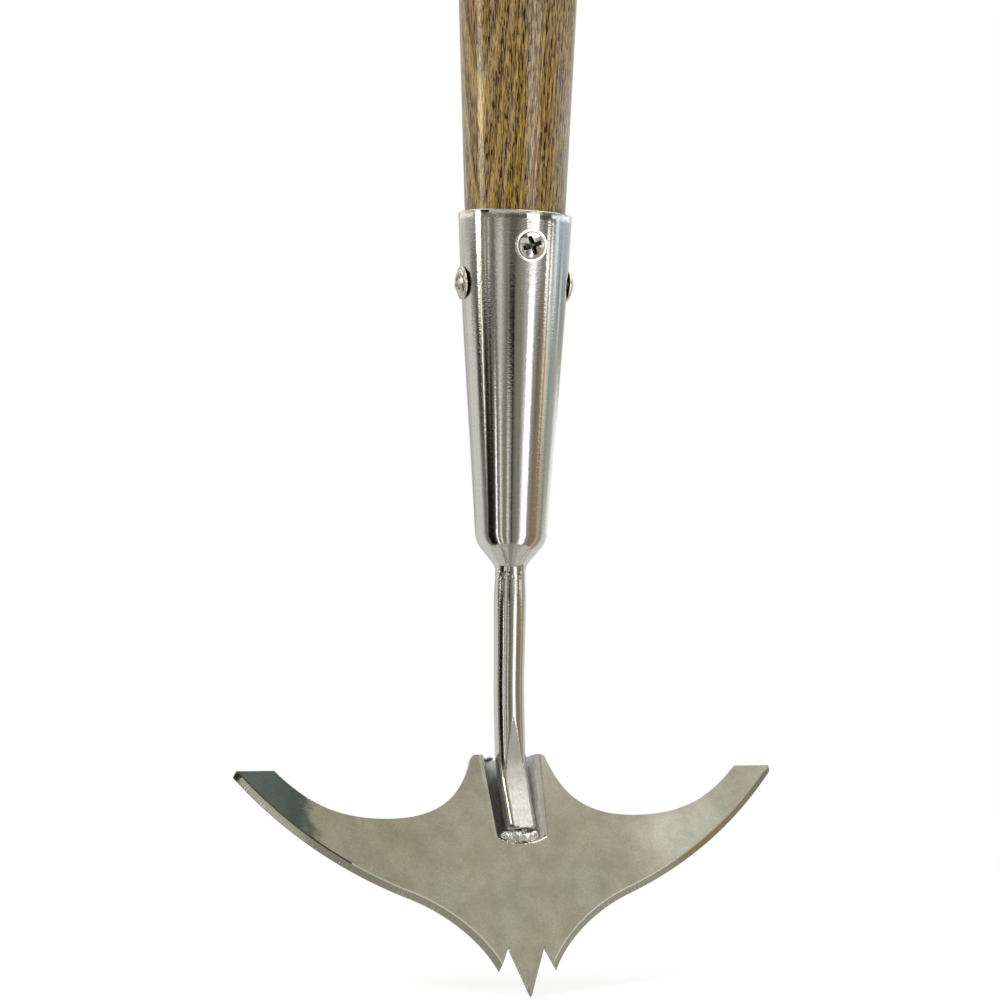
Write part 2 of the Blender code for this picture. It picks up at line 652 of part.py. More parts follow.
def build_screws(parts, cutters):
    """Four like screws that share one mesh, and the drills that make their holes."""
    master = turned("screw_master", screw_profile(), parts, SCREW_STEPS)
    for i in range(2):
        boolean(master, recess_bar(f"recess_bar_{i}", i * math.pi / 2, cutters))
    first = finish_part(baked(master, "screw_front", parts), STAINLESS_POLISHED)
    hole = SCREW_SHANK_RADIUS + CLEARANCE
    depth = SCREW_LENGTH + 2 * CLEARANCE
    bit = [(0.0, OVERRUN), (hole, OVERRUN), (hole, -depth), (0.0, -depth)]
    drills = []
    for name, turn, z in screw_places():
        screw = first if name == first.name else new_object(name, first.data, parts)
        screw.matrix_world = screw_matrix(name, turn, z)
        drill = baked(turned(f"drill_{name}", bit, cutters, SCREW_STEPS), f"drill_{name}", cutters)
        drill.matrix_world = screw.matrix_world.copy()
        drills.append(make_cutter(drill))
    return drills


# Welds on the blade
def weld_lump(name, drops, base, collection, frame):
    """Overlapping drops of weld metal joined into one lump, from a base height up the plate."""
    lump = None
    for number, ((x, rise, proud), radii) in enumerate(drops):
        bm = bmesh.new()
        bmesh.ops.create_uvsphere(bm, u_segments=DROP_SEGMENTS, v_segments=DROP_RINGS, radius=1.0)
        place = Matrix.Translation((x * MM, -proud * MM, base + rise * MM))
        scale = Matrix.Diagonal((radii[0] * MM, radii[2] * MM, radii[1] * MM, 1.0))
        bmesh.ops.transform(bm, matrix=place @ scale, verts=bm.verts[:])
        drop = new_object(f"{name}_drop_{number}", mesh_from_bmesh(name, bm), collection, frame)
        if lump is None:
            lump = drop
            lump.name = name
        else:
            boolean(lump, make_cutter(drop), "UNION")
    return lump


def build_end_weld(parts, cutters, frame, neck_space):
    """Lumpy weld that closes the groove's foot under the neck's end."""
    weld = weld_lump("end_weld", END_WELD_DROPS, GROOVE_END_HEIGHT, cutters, frame)
    room = groove_form("groove_room", -CLEARANCE, EAR_HEIGHT, cutters, frame)
    boolean(weld, room, "INTERSECT")
    boolean(weld, neck_space)
    return finish_part(baked(weld, "end_weld", parts), WELD_METAL)


def build_tack_weld(parts, cutters, frame, neck_space):
    """Small weld on the groove's upper edge, against the left side of the neck."""
    weld = weld_lump("tack_weld", TACK_WELD_DROPS, EAR_HEIGHT, cutters, frame)
    weld = baked(weld, "tack_weld", cutters)
    keep_side(weld, (0.0, 0.0, EAR_HEIGHT + CLEARANCE), (0.0, 0.0, -1.0))
    boolean(weld, neck_space)
    return finish_part(baked(weld, "tack_weld", parts), WELD_METAL)


def main():
    clear_scene()
    parts, cutters = new_collection("wing_hoe"), new_collection("cutters")
    frame = blade_frame(parts)
    drills = build_screws(parts, cutters)
    build_handle(parts, drills)
    build_socket(parts, drills)
    build_collar_weld(parts)
    build_neck(parts, cutters)
    build_blade(parts, cutters, frame)
    neck_space = make_cutter(neck_rod("neck_space", CLEARANCE, cutters))
    build_end_weld(parts, cutters, frame, neck_space)
    build_tack_weld(parts, cutters, frame, neck_space)


main()
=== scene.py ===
"""Looks of the wing hoe: fine meshes, metal and wood finishes, a pale studio and the camera.

Metres, +Z up along the handle, front of the tool towards -Y. The blade is drawn in a frame of its
own, the plate frame: x across, height up the plate, and depth from its front face to its back.
"""
import logging
import math
from collections.abc import Sequence
from dataclasses import dataclass
from enum import Enum
from typing import Any

import bmesh
import bpy
import numpy as np
from bpy.types import Material, Mesh, Node, NodeSocket, NodeTree, Object, World
from mathutils import Matrix, Vector, noise
from mathutils.geometry import delaunay_2d_cdt, interpolate_bezier


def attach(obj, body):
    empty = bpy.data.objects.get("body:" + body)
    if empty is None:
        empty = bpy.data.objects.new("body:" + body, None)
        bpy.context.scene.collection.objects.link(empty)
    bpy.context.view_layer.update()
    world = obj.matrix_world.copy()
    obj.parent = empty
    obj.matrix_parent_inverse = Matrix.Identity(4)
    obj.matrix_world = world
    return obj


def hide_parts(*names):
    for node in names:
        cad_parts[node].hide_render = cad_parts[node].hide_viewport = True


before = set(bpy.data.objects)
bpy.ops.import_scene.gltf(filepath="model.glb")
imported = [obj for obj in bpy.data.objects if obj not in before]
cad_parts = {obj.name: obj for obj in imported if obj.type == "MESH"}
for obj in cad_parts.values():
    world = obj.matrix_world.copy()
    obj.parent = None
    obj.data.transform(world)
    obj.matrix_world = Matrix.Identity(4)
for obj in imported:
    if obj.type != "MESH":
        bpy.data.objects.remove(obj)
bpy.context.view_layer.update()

MM = 0.001
BODY = "root"
SHARP_ANGLE = math.radians(32)
EDGE_RUN = "edge_run"                  # how far along the cutting edge a point lies, in metres
EDGE_REACH = "edge_reach"              # 0 on the bevel's upper line, 1 on the cutting edge
CARD_SHADE = "card_shade"
BELOW, ABOVE, MIXED = 6, 7, 2          # where a mix node takes two colours, and gives one
log = logging.getLogger("wing_hoe")

Point = tuple[float, float]
Triple = tuple[float, float, float]
Colour = tuple[float, float, float, float]


class Slot(Enum):
    """The material slots' names."""

    BLADE = "blade_steel"
    SOCKET = "socket_steel"
    WELD = "weld_metal"
    SCREW = "screw_steel"
    ASH = "ash"


def linear(shade: str | float, gain: float = 1.0) -> Colour:
    """Turn an sRGB hex colour to linear light.

    Args:
        shade: The colour, such as "#A09080", or the linear value of a plain grey.
        gain: What its light is multiplied by.

    Returns:
        The linear colour with an alpha of 1.
    """
    if not isinstance(shade, str):
        return (shade, shade, shade, 1.0)
    shares = [int(shade[i:i + 2], 16) / 255 for i in (1, 3, 5)]
    light = [s / 12.92 if s <= 0.04045 else ((s + 0.055) / 1.055) ** 2.4 for s in shares]
    return (light[0] * gain, light[1] * gain, light[2] * gain, 1.0)


def emptied(owner: Material | World) -> NodeTree:
    """Give a material or world an empty node tree.

    Args:
        owner: The material or world.

    Returns:
        Its tree.
    """
    owner.use_nodes = True
    owner.node_tree.nodes.clear()
    return owner.node_tree


def add_node(
    tree: NodeTree,
    kind: str,
    inputs: dict[str | int, Any] | Sequence[Any] = (),
    stops: Sequence[tuple[float, str | float]] = (),
    **settings: Any,
) -> Node:
    """Add a node with its settings and links.

    Args:
        tree: The tree that it goes into.
        kind: The shader node's type, such as "Math".
        inputs: What its inputs get, in order or else by name or number: a value, a hex colour,
            an output socket to link from, or a node whose first output is linked.
        stops: A colour ramp's positions, each with a hex colour or a grey.
        **settings: The node's own properties.

    Returns:
        The new node.
    """
    node = tree.nodes.new(f"ShaderNode{kind}")
    for key, value in settings.items():
        setattr(node, key, value)
    for key, value in inputs.items() if isinstance(inputs, dict) else enumerate(inputs):
        source = value.outputs[0] if isinstance(value, Node) else value
        if isinstance(source, NodeSocket):
            tree.links.new(source, node.inputs[key])
        else:
            node.inputs[key].default_value = linear(source) if isinstance(source, str) else source
    if stops:
        elements = node.color_ramp.elements
        elements.remove(elements[1])
        elements[0].position, elements[0].color = stops[0][0], linear(stops[0][1])
        for place, shade in stops[1:]:
            elements.new(place).color = linear(shade)
    return node


# Finishes
@dataclass(frozen=True)
class Finish:
    """What every finish shares: its name, whether it is metal, and how its tree starts and ends."""

    name: str = "finish"
    metallic: float = 1.0

    def start(self) -> tuple[Material, NodeTree, NodeSocket]:
        """Make the material.

        Returns:
            The material, its empty tree, and the place in the row frame, in metres.
        """
        made = bpy.data.materials.new(self.name)
        tree = emptied(made)
        return made, tree, add_node(tree, "TexCoord").outputs["Object"]

    def grain(self, tree: NodeTree, place: NodeSocket, across: float, along: float | None = None,
              turn: Triple = (0.0, 0.0, 0.0), detail: float = 2.0) -> NodeSocket:
        """Noise whose spots have a real size.

        Args:
            tree: The material's tree.
            place: Where it is read, in metres.
            across: A spot's length along x and y, in metres.
            along: Its length along z, where that differs.
            turn: How the pattern is turned first, in radians.
            detail: Octaves of finer noise.

        Returns:
            The noise, about 0.5 on average.
        """
        turned = add_node(tree, "Mapping", {"Vector": place, "Rotation": turn})
        scale = (1 / across, 1 / across, 1 / (along or across))
        scaled = add_node(tree, "VectorMath", (turned, scale), operation="MULTIPLY")
        return add_node(tree, "TexNoise", {
            "Vector": scaled, "Scale": 1.0, "Detail": detail, "Roughness": 0.55}).outputs["Fac"]

    def end(self, made: Material, sockets: dict[str, Any]) -> Material:
        """Add the surface shader and the output.

        Args:
            made: The material.
            sockets: What the shader's inputs get.

        Returns:
            The same material.
        """
        surface = add_node(made.node_tree, "BsdfPrincipled", {"Metallic": self.metallic, **sockets})
        add_node(made.node_tree, "OutputMaterial", {"Surface": surface})
        return made


@dataclass(frozen=True)
class CrossGroundStainless(Finish):
    """Stainless tube and rod, belt ground round their axis and then buffed bright.

    What is left of the grinding smears reflections along the axis and keeps them crisp sideways.
    Small ripples in the buffed skin give the reflections toothed edges.
    """

    name: str = "cross_ground_stainless"
    bright: str = "#D2D1CD"
    dull: str = "#CCCBC7"
    roughness: float = 0.09
    anisotropy: float = 0.78
    mark_height: float = 0.3 * MM      # twice the real marks, which are too fine to show
    mark_length: float = 4 * MM
    ripple: float = 0.9 * MM
    ripple_height: float = 0.45 * MM

    def material(self) -> Material:
        """Faint marks round the axis, over the ripples that the buffing left.

        Returns:
            The material.
        """
        made, tree, place = self.start()
        marks = self.grain(tree, place, self.mark_length, self.mark_height, detail=3.0)
        ripples = self.grain(tree, place, self.ripple, self.ripple_height, detail=0.0)
        tint = add_node(tree, "ValToRGB", [marks], [(0.34, self.dull), (0.62, self.bright)])
        rough = add_node(tree, "MapRange", (ripples, 0.3, 0.7, 0.9 * self.roughness, 1.15 * self.roughness))
        marked = add_node(tree, "Bump", {"Height": marks, "Strength": 0.3, "Distance": 0.01 * MM})
        rippled = add_node(tree, "Bump", {
            "Height": ripples, "Strength": 1.0, "Distance": 0.012 * MM, "Normal": marked})
        tangent = add_node(tree, "Tangent", direction_type="RADIAL", axis="Z")
        return self.end(made, {
            "Base Color": tint, "Roughness": rough, "Anisotropic": self.anisotropy,
            "Anisotropic Rotation": 0.25, "Tangent": tangent, "Normal": rippled})


@dataclass(frozen=True)
class SatinStainlessSheet(Finish):
    """Cold rolled stainless sheet with its satin mill finish, then cut, pressed and handled.

    It mirrors softly, a little clearer at the left wing's end, where it is rubbed bright. Close up it
    is mottled, with fine slanting scratches and the faint rims of dried drops.
    """

    name: str = "satin_stainless_sheet"
    green_grey: str = "#C9CCC3"
    brown_grey: str = "#CFC9BD"
    patch_tint: str = "#B0AEA1"
    mottle_tint: str = "#96948A"
    scratch_tint: str = "#E6E5DE"
    roughness: float = 0.085
    polished_roughness: float = 0.03
    polished_to: float = -54 * MM      # across the plate
    polish_fade: float = 3 * MM
    cloud: float = 20 * MM
    patch: float = 7 * MM
    mottle: float = 0.6 * MM
    brush_width: float = 0.4 * MM      # twice as coarse as the real brushing
    brush_length: float = 8 * MM
    slant: float = math.radians(-22)
    tilt: float = math.radians(22)
    drop_spacing: float = 26 * MM
    drop_radius: float = 1.8 * MM

    def material(self) -> Material:
        """Clouds, mottling and slanting brush lines, in places deep enough to catch the light.

        Returns:
            The material.
        """
        made, tree, place = self.start()
        clouds = self.grain(tree, place, self.cloud, detail=3.0)
        patches = self.grain(tree, place, self.patch, detail=4.0)
        mottle = self.grain(tree, place, self.mottle, detail=3.0)
        brush = self.grain(tree, place, self.brush_length, self.brush_width, (self.tilt, self.slant, 0.0))
        spread = add_node(tree, "VectorMath", (place, (1 / self.drop_spacing,) * 3), operation="MULTIPLY")
        drops = add_node(tree, "TexVoronoi", {"Vector": spread, "Scale": 1.0}).outputs["Distance"]
        rim = self.drop_radius / self.drop_spacing
        layers = (
            (add_node(tree, "MapRange", (patches, 0.4, 0.68, 0.0, 0.7)), self.patch_tint),
            (add_node(tree, "MapRange", (mottle, 0.4, 0.75, 0.0, 0.3)), self.mottle_tint),
            (add_node(tree, "ValToRGB", [brush], [(0.66, 0.0), (0.78, 0.6)]), self.scratch_tint),
            (add_node(tree, "ValToRGB", [drops], [
                (0.0, 0.1), (0.75 * rim, 0.1), (rim, 0.3), (1.15 * rim, 0.0)]), self.scratch_tint))
        hue = add_node(tree, "ValToRGB", [clouds], [(0.4, self.green_grey), (0.6, self.brown_grey)])
        colour = hue.outputs[0]
        for mask, tint in layers:
            mix = add_node(tree, "Mix", {"Factor": mask, BELOW: colour, ABOVE: tint}, data_type="RGBA")
            colour = mix.outputs[MIXED]
        across = add_node(tree, "SeparateXYZ", [place]).outputs["X"]
        rough = add_node(tree, "MapRange", (
            across, self.polished_to, self.polished_to + self.polish_fade, self.polished_roughness,
            self.roughness))
        waved = add_node(tree, "Bump", {"Height": clouds, "Strength": 1.0, "Distance": 0.03 * MM})
        brushed = add_node(tree, "Bump", {
            "Height": brush, "Strength": 0.3, "Distance": 0.003 * MM, "Normal": waved})
        return self.end(made, {"Base Color": colour, "Roughness": rough, "Normal": brushed})


@dataclass(frozen=True)
class GroundBevel(Finish):
    """Stainless edge, ground by hand on a fine wheel.

    It is smooth and hollow. Along its upper line runs a painted shade line on the left wing's outer
    part and a painted highlight line elsewhere, with a fainter line of the same along the cutting
    edge. The wheel's marks run across it: pale ticks square to the cutting edge, where it bit.
    """

    name: str = "ground_bevel"
    dark: str = "#8B877A"
    middle: str = "#AAA698"
    bright: str = "#E6E3D6"
    # The painted shade line and the painted highlight line along the bevel's upper line and its edge
    painted_shade_line: str = "#1E1D18"
    painted_highlight_line: str = "#F6F4EA"
    roughness: float = 0.22
    tick: float = 0.45 * MM
    wave: float = 9 * MM
    painted_line_share: float = 0.14           # of the bevel's width
    # Between these the painted shade line takes the place of the painted highlight line
    shade_line_from: float = -80 * MM        # across the plate
    shade_line_to: float = -49 * MM

    def material(self) -> Material:
        """Ticks from the run, and painted shade and highlight lines from the reach that the mesh carries.

        Returns:
            The material.
        """
        made, tree, place = self.start()
        run = add_node(tree, "Attribute", attribute_name=EDGE_RUN).outputs["Fac"]
        reach = add_node(tree, "Attribute", attribute_name=EDGE_REACH).outputs["Fac"]
        across = add_node(tree, "SeparateXYZ", [place]).outputs["X"]
        ticks, waves = (
            add_node(tree, "TexNoise", {"W": run, "Scale": 1 / size, "Detail": detail},
                     noise_dimensions="1D").outputs["Fac"]
            for size, detail in ((self.tick, 2.0), (self.wave, 1.0)))
        bite = add_node(tree, "MapRange", (waves, 0.5, 0.68, 0.06, 0.5))
        low = add_node(tree, "MapRange", (reach, 0.35, 1.0, 0.3, 1.3))
        strength = add_node(tree, "Math", (bite, low), operation="MULTIPLY")
        centred = add_node(tree, "Math", (ticks, 0.5), operation="SUBTRACT")
        gathered = add_node(tree, "Math", (centred, strength), operation="MULTIPLY")
        level = add_node(tree, "Math", (gathered, 0.5), operation="ADD")
        tint = add_node(tree, "ValToRGB", [level], [
            (0.4, self.dark), (0.5, self.middle), (0.6, self.bright)])
        # Painted shade line on the left wing's outer part, painted highlight line elsewhere: strong at the
        # upper line, faint at the cutting edge
        inner = add_node(tree, "Math", (across, self.shade_line_to), operation="LESS_THAN")
        outer = add_node(tree, "Math", (across, self.shade_line_from), operation="GREATER_THAN")
        shade_line_stretch = add_node(tree, "Math", (inner, outer), operation="MULTIPLY")
        painted_line_tint = add_node(tree, "Mix", {
            "Factor": shade_line_stretch, BELOW: self.painted_highlight_line, ABOVE: self.painted_shade_line}, data_type="RGBA").outputs[MIXED]
        line = add_node(tree, "ValToRGB", [reach], [
            (0.0, 0.85), (self.painted_line_share, 0.8), (1.6 * self.painted_line_share, 0.0), (0.9, 0.0), (1.0, 0.25)])
        painted_lines_added = add_node(tree, "Mix", {
            "Factor": line, BELOW: tint, ABOVE: painted_line_tint}, data_type="RGBA").outputs[MIXED]
        bump = add_node(tree, "Bump", {"Height": level, "Strength": 0.4, "Distance": 0.04 * MM})
        return self.end(made, {"Base Color": painted_lines_added, "Roughness": self.roughness, "Normal": bump})


@dataclass(frozen=True)
class DressedStainless(Finish):
    """Stainless, dressed with a fine flap wheel beside the welds: pale, soft and a little pitted.

    Higher up its colour turns to another tint: a painted shade on the neck's flat, and a painted pale
    bluish reflection in the groove. On its left it can take blotches of painted shade.
    """

    name: str = "dressed_stainless"
    bright: str = "#E8E8E4"
    dull: str = "#D2D2CC"
    pit_tint: str = "#8E8A80"
    # The painted tint higher up: painted shade on the neck's flat, a painted pale bluish reflection in the
    # groove
    painted_upper_tint: str = "#9A9B93"
    painted_upper_from: float = 56 * MM       # heights between which it takes the painted upper tint
    painted_upper_to: float = 66 * MM
    # Blotches of painted shade on the left side
    painted_shade_tint: str = "#46443D"
    painted_shade: float = 0.0
    painted_shade_from: float = -3.5 * MM      # across the plate
    painted_shade_to: float = -7.5 * MM
    shade_blot: float = 6 * MM
    roughness: float = 0.42
    smear: float = 3.5 * MM
    pit: float = 0.7 * MM

    def material(self) -> Material:
        """Soft smears along the groove, a few dark pits, the painted tint higher up, and blotches of painted
        shade on the left.

        Returns:
            The material.
        """
        made, tree, place = self.start()
        smears = self.grain(tree, place, self.pit, self.smear)
        pits = self.grain(tree, place, self.pit)
        shade_blots = self.grain(tree, place, self.pit * 2, self.shade_blot, detail=3.0)
        axes = add_node(tree, "SeparateXYZ", [place]).outputs
        # Blotches of painted shade across the left side
        side = add_node(tree, "MapRange", (axes["X"], self.painted_shade_from, self.painted_shade_to, 0.0, self.painted_shade))
        blotted_shade = add_node(tree, "MapRange", (shade_blots, 0.35, 0.62, 0.45, 1.0))
        layers = (
            # Higher up: painted shade on the neck's flat, a painted pale bluish reflection in the groove
            (add_node(tree, "MapRange", (axes["Z"], self.painted_upper_from, self.painted_upper_to, 0.0, 0.9)),
             self.painted_upper_tint),
            (add_node(tree, "ValToRGB", [pits], [(0.27, 0.9), (0.33, 0.0)]), self.pit_tint),
            (add_node(tree, "Math", (side, blotted_shade), operation="MULTIPLY"), self.painted_shade_tint))
        colour = add_node(tree, "ValToRGB", [smears], [(0.38, self.dull), (0.6, self.bright)]).outputs[0]
        for mask, tint in layers:
            mix = add_node(tree, "Mix", {"Factor": mask, BELOW: colour, ABOVE: tint}, data_type="RGBA")
            colour = mix.outputs[MIXED]
        uneven = add_node(tree, "Bump", {"Height": smears, "Strength": 0.5, "Distance": 0.03 * MM})
        return self.end(made, {"Base Color": colour, "Roughness": self.roughness, "Normal": uneven})


@dataclass(frozen=True)
class StainlessWeldBead(Finish):
    """Stainless weld, brushed after welding: bright lumps with dark scale left in the hollows."""

    name: str = "stainless_weld_bead"
    scale_tint: str = "#7E7A70"
    middle: str = "#DAD9D3"
    bright: str = "#F4F3EF"
    roughness: float = 0.18
    lump: float = 1.5 * MM
    pit: float = 0.3 * MM

    def material(self) -> Material:
        """Small facets and pits, darker where scale is left.

        Returns:
            The material.
        """
        made, tree, place = self.start()
        lumps = self.grain(tree, place, self.lump, detail=3.0)
        pits = self.grain(tree, place, self.pit)
        tint = add_node(tree, "ValToRGB", [lumps], [
            (0.28, self.scale_tint), (0.36, self.middle), (0.5, self.bright)])
        rough = add_node(tree, "MapRange", (pits, 0.3, 0.7, 0.7 * self.roughness, 1.8 * self.roughness))
        faceted = add_node(tree, "Bump", {"Height": lumps, "Strength": 0.7, "Distance": 0.25 * MM})
        pitted = add_node(tree, "Bump", {
            "Height": pits, "Strength": 0.3, "Distance": 0.05 * MM, "Normal": faceted})
        return self.end(made, {"Base Color": tint, "Roughness": rough, "Normal": pitted})


@dataclass(frozen=True)
class PolishedStainless(Finish):
    """Cold headed stainless screw, barrel polished: a clear mirror with hair-fine wear."""

    name: str = "polished_stainless"
    bright: str = "#ECEBE8"
    dull: str = "#DEDDD8"
    roughness: float = 0.15
    speck: float = 0.9 * MM

    def material(self) -> Material:
        """A mirror, a little uneven from the header's die.

        Returns:
            The material.
        """
        made, tree, place = self.start()
        wear = self.grain(tree, place, self.speck, detail=3.0)
        tint = add_node(tree, "ValToRGB", [wear], [(0.35, self.dull), (0.6, self.bright)])
        rough = add_node(tree, "MapRange", (wear, 0.3, 0.7, 0.7 * self.roughness, 1.5 * self.roughness))
        uneven = add_node(tree, "Bump", {"Height": wear, "Strength": 0.5, "Distance": 0.05 * MM})
        return self.end(made, {"Base Color": tint, "Roughness": rough, "Normal": uneven})


@dataclass(frozen=True)
class ShadedRecess(Finish):
    """The screw's punched recess and the seam round its dome, painted near black: painted shade, which reads
    as a dark cross.
    """

    name: str = "shaded_recess"
    recess_shade: str = "#2A2721"
    steel: str = "#8A867C"
    roughness: float = 0.4
    speck: float = 0.4 * MM

    def material(self) -> Material:
        """Painted shade, dull black, with a little bare steel.

        Returns:
            The material.
        """
        made, tree, place = self.start()
        bare = self.grain(tree, place, self.speck)
        tint = add_node(tree, "ValToRGB", [bare], [(0.45, self.recess_shade), (0.7, self.steel)])
        return self.end(made, {"Base Color": tint, "Roughness": self.roughness})


@dataclass(frozen=True)
class LacqueredAsh(Finish):
    """Ash, turned, stained olive brown and lacquered.

    Ash is ring porous: each year's early wood is a band of open pores, which the stain fills
    almost black. Cut along the shaft they show as short dark dashes, thick in the early wood. The
    lacquer is thin, so the open pores also break its gloss into specks.
    """

    name: str = "lacquered_ash"
    metallic: float = 0.0
    late_wood: str = "#BE9C56"
    early_wood: str = "#9A7938"
    ring_line: str = "#5E4518"
    pore: str = "#241503"
    grey_streak: str = "#9C8B6E"
    ring: float = 1.25 * MM
    pith: Triple = (34 * MM, 21 * MM, 0.0)
    wander: float = 0.35 * MM           # how far the rings stray from straight
    wander_width: float = 16 * MM
    wander_length: float = 120 * MM
    pore_width: float = 0.3 * MM
    pore_length: float = 3.6 * MM
    fibre_width: float = 0.3 * MM
    fibre_length: float = 7 * MM
    speck: float = 0.35 * MM
    streak_width: float = 2.6 * MM
    streak_length: float = 60 * MM

    def material(self) -> Material:
        """Rings about a pith outside the shaft, with fibres, streaks and pores in them.

        Returns:
            The material.
        """
        made, tree, place = self.start()
        stray = self.grain(tree, place, self.wander_width, self.wander_length)
        aside = add_node(tree, "MapRange", (stray, 0.3, 0.7, -self.wander, self.wander))
        off = add_node(tree, "VectorMath", (place, self.pith), operation="SUBTRACT")
        flat = add_node(tree, "VectorMath", (off, (1.0, 1.0, 0.0)), operation="MULTIPLY")
        reach = add_node(tree, "VectorMath", [flat], operation="LENGTH").outputs["Value"]
        strayed = add_node(tree, "Math", (reach, aside), operation="ADD")
        years = add_node(tree, "Math", (strayed, self.ring), operation="DIVIDE")
        season = add_node(tree, "Math", [years], operation="FRACT")
        wood = add_node(tree, "ValToRGB", [season], [
            (0.0, self.ring_line), (0.1, self.early_wood), (0.4, self.early_wood),
            (0.65, self.late_wood), (0.9, self.late_wood), (1.0, self.ring_line)])
        fibres = self.grain(tree, place, self.fibre_width, self.fibre_length, detail=3.0)
        streaks = self.grain(tree, place, self.streak_width, self.streak_length)
        pores = self.grain(tree, place, self.pore_width, self.pore_length, detail=1.0)
        open_mask = add_node(tree, "ValToRGB", [pores], [(0.5, 0.0), (0.53, 1.0)])
        early = add_node(tree, "ValToRGB", [season], [(0.0, 1.0), (0.45, 0.95), (0.7, 0.6), (0.95, 0.75)])
        pore_mask = add_node(tree, "Math", (open_mask, early), operation="MULTIPLY")
        layers = (
            (add_node(tree, "MapRange", (fibres, 0.35, 0.7, 0.0, 0.6)), self.ring_line),
            (add_node(tree, "MapRange", (streaks, 0.45, 0.7, 0.0, 0.7)), self.grey_streak),
            (pore_mask, self.pore))
        colour = wood.outputs[0]
        for mask, tint in layers:
            mix = add_node(tree, "Mix", {"Factor": mask, BELOW: colour, ABOVE: tint}, data_type="RGBA")
            colour = mix.outputs[MIXED]
        specks = self.grain(tree, place, self.speck, detail=1.0)
        specked = add_node(tree, "Bump", {"Height": specks, "Strength": 1.0, "Distance": 0.025 * MM})
        grained = add_node(tree, "Bump", {
            "Height": fibres, "Strength": 0.5, "Distance": 0.03 * MM, "Normal": specked})
        # The pores go inwards, both in the wood and in the lacquer over it
        pitted = add_node(tree, "Bump", {"Height": pore_mask, "Strength": 0.4, "Distance": -0.06 * MM})
        filled = add_node(tree, "Bump", {
            "Height": pore_mask, "Strength": 0.6, "Distance": -0.05 * MM, "Normal": grained})
        return self.end(made, {
            "Base Color": colour, "Roughness": 0.55, "IOR": 1.5, "Specular IOR Level": 0.0,
            "Normal": pitted, "Coat Weight": 1.0, "Coat Roughness": 0.1, "Coat IOR": 1.5,
            "Coat Normal": filled})


# Mesh making
def arc(centre: Point, radius: float, start: float, end: float, steps: int) -> list[Point]:
    """Points of an arc in a profile's plane.

    Args:
        centre: Its centre.
        radius: Its radius.
        start: The first point's angle.
        end: The last point's angle.
        steps: How many chords it has.

    Returns:
        The points, both ends included.
    """
    angles = [start + (end - start) * i / steps for i in range(steps + 1)]
    return [(centre[0] + radius * math.cos(a), centre[1] + radius * math.sin(a)) for a in angles]


def bezier(start: Point, pull_start: Point, pull_end: Point, end: Point, steps: int) -> list[Point]:
    """Points of one curve whose pulls are the offsets of its handles.

    Args:
        start: The first point.
        pull_start: The offset of its handle.
        pull_end: The offset of the last point's handle.
        end: The last point.
        steps: How many chords it has.

    Returns:
        The points, both ends included.
    """
    first, last = Vector((*start, 0.0)), Vector((*end, 0.0))
    knots = (first, first + Vector((*pull_start, 0.0)), last + Vector((*pull_end, 0.0)), last)
    return [(p.x, p.y) for p in interpolate_bezier(*knots, steps + 1)]


def towards(angle: float, length: float) -> Point:
    """A step of some length at an angle."""
    return (length * math.cos(angle), length * math.sin(angle))


def fillet_rise(radius: float, low: float, high: float) -> Point:
    """The radial and axial steps of an arc that turns from one slope to another."""
    return radius * abs(math.cos(low) - math.cos(high)), radius * abs(math.sin(high) - math.sin(low))


def eased(share: float) -> float:
    """A share from 0 to 1 that starts and ends level."""
    held = min(1.0, max(0.0, share))
    return held * held * (3.0 - 2.0 * held)


def inside(ring: np.ndarray, place: np.ndarray) -> bool:
    """Whether a place lies inside an outline.

    Args:
        ring: The outline's corners, in order.
        place: The place.

    Returns:
        True where a line from the place to the right crosses the outline an odd number of times.
    """
    after = np.roll(ring, -1, axis=0)
    crosses = (ring[:, 1] > place[1]) != (after[:, 1] > place[1])
    low, high = ring[crosses], after[crosses]
    at = low[:, 0] + (place[1] - low[:, 1]) / (high[:, 1] - low[:, 1]) * (high[:, 0] - low[:, 0])
    return bool(np.count_nonzero(place[0] < at) % 2)


def whole(right: list[Vector]) -> list[Vector]:
    """An outline from its right half, which starts and ends on the middle line."""
    return right + [Vector((-p.x, p.y)) for p in reversed(right[1:-1])]


def skin(name: str, rings: Sequence[np.ndarray], closed: bool = False) -> Mesh:
    """A mesh over rings that run down its outer side.

    Args:
        name: The mesh's name.
        rings: Rings with as many points each, counter-clockwise seen from above.
        closed: Whether the last ring joins the first, in place of two end caps.

    Returns:
        The closed mesh.
    """
    count, total = len(rings[0]), len(rings)
    faces = []
    for upper in range(total if closed else total - 1):
        lower = (upper + 1) % total
        for k in range(count):
            after = (k + 1) % count
            faces.append((
                upper * count + k, lower * count + k, lower * count + after, upper * count + after))
    if not closed:
        faces.append(tuple(range(count)))
        faces.append(tuple(range(total * count - 1, (total - 1) * count - 1, -1)))
    mesh = bpy.data.meshes.new(name)
    mesh.from_pydata(np.concatenate(rings).tolist(), [], faces)
    return mesh


def lathe(name: str, profile: Sequence[Point], segments: int, closed: bool = False) -> Mesh:
    """A turned mesh.

    Args:
        name: The mesh's name.
        profile: Radius and height of points that run down its outer side.
        segments: Sides of each ring.
        closed: Whether the profile closes on itself, as a tube's does.

    Returns:
        The closed mesh.
    """
    angles = np.arange(segments) * (math.tau / segments)
    rings = [
        np.column_stack((radius * np.cos(angles), radius * np.sin(angles), np.full(segments, z)))
        for radius, z in profile
    ]
    return skin(name, rings, closed)


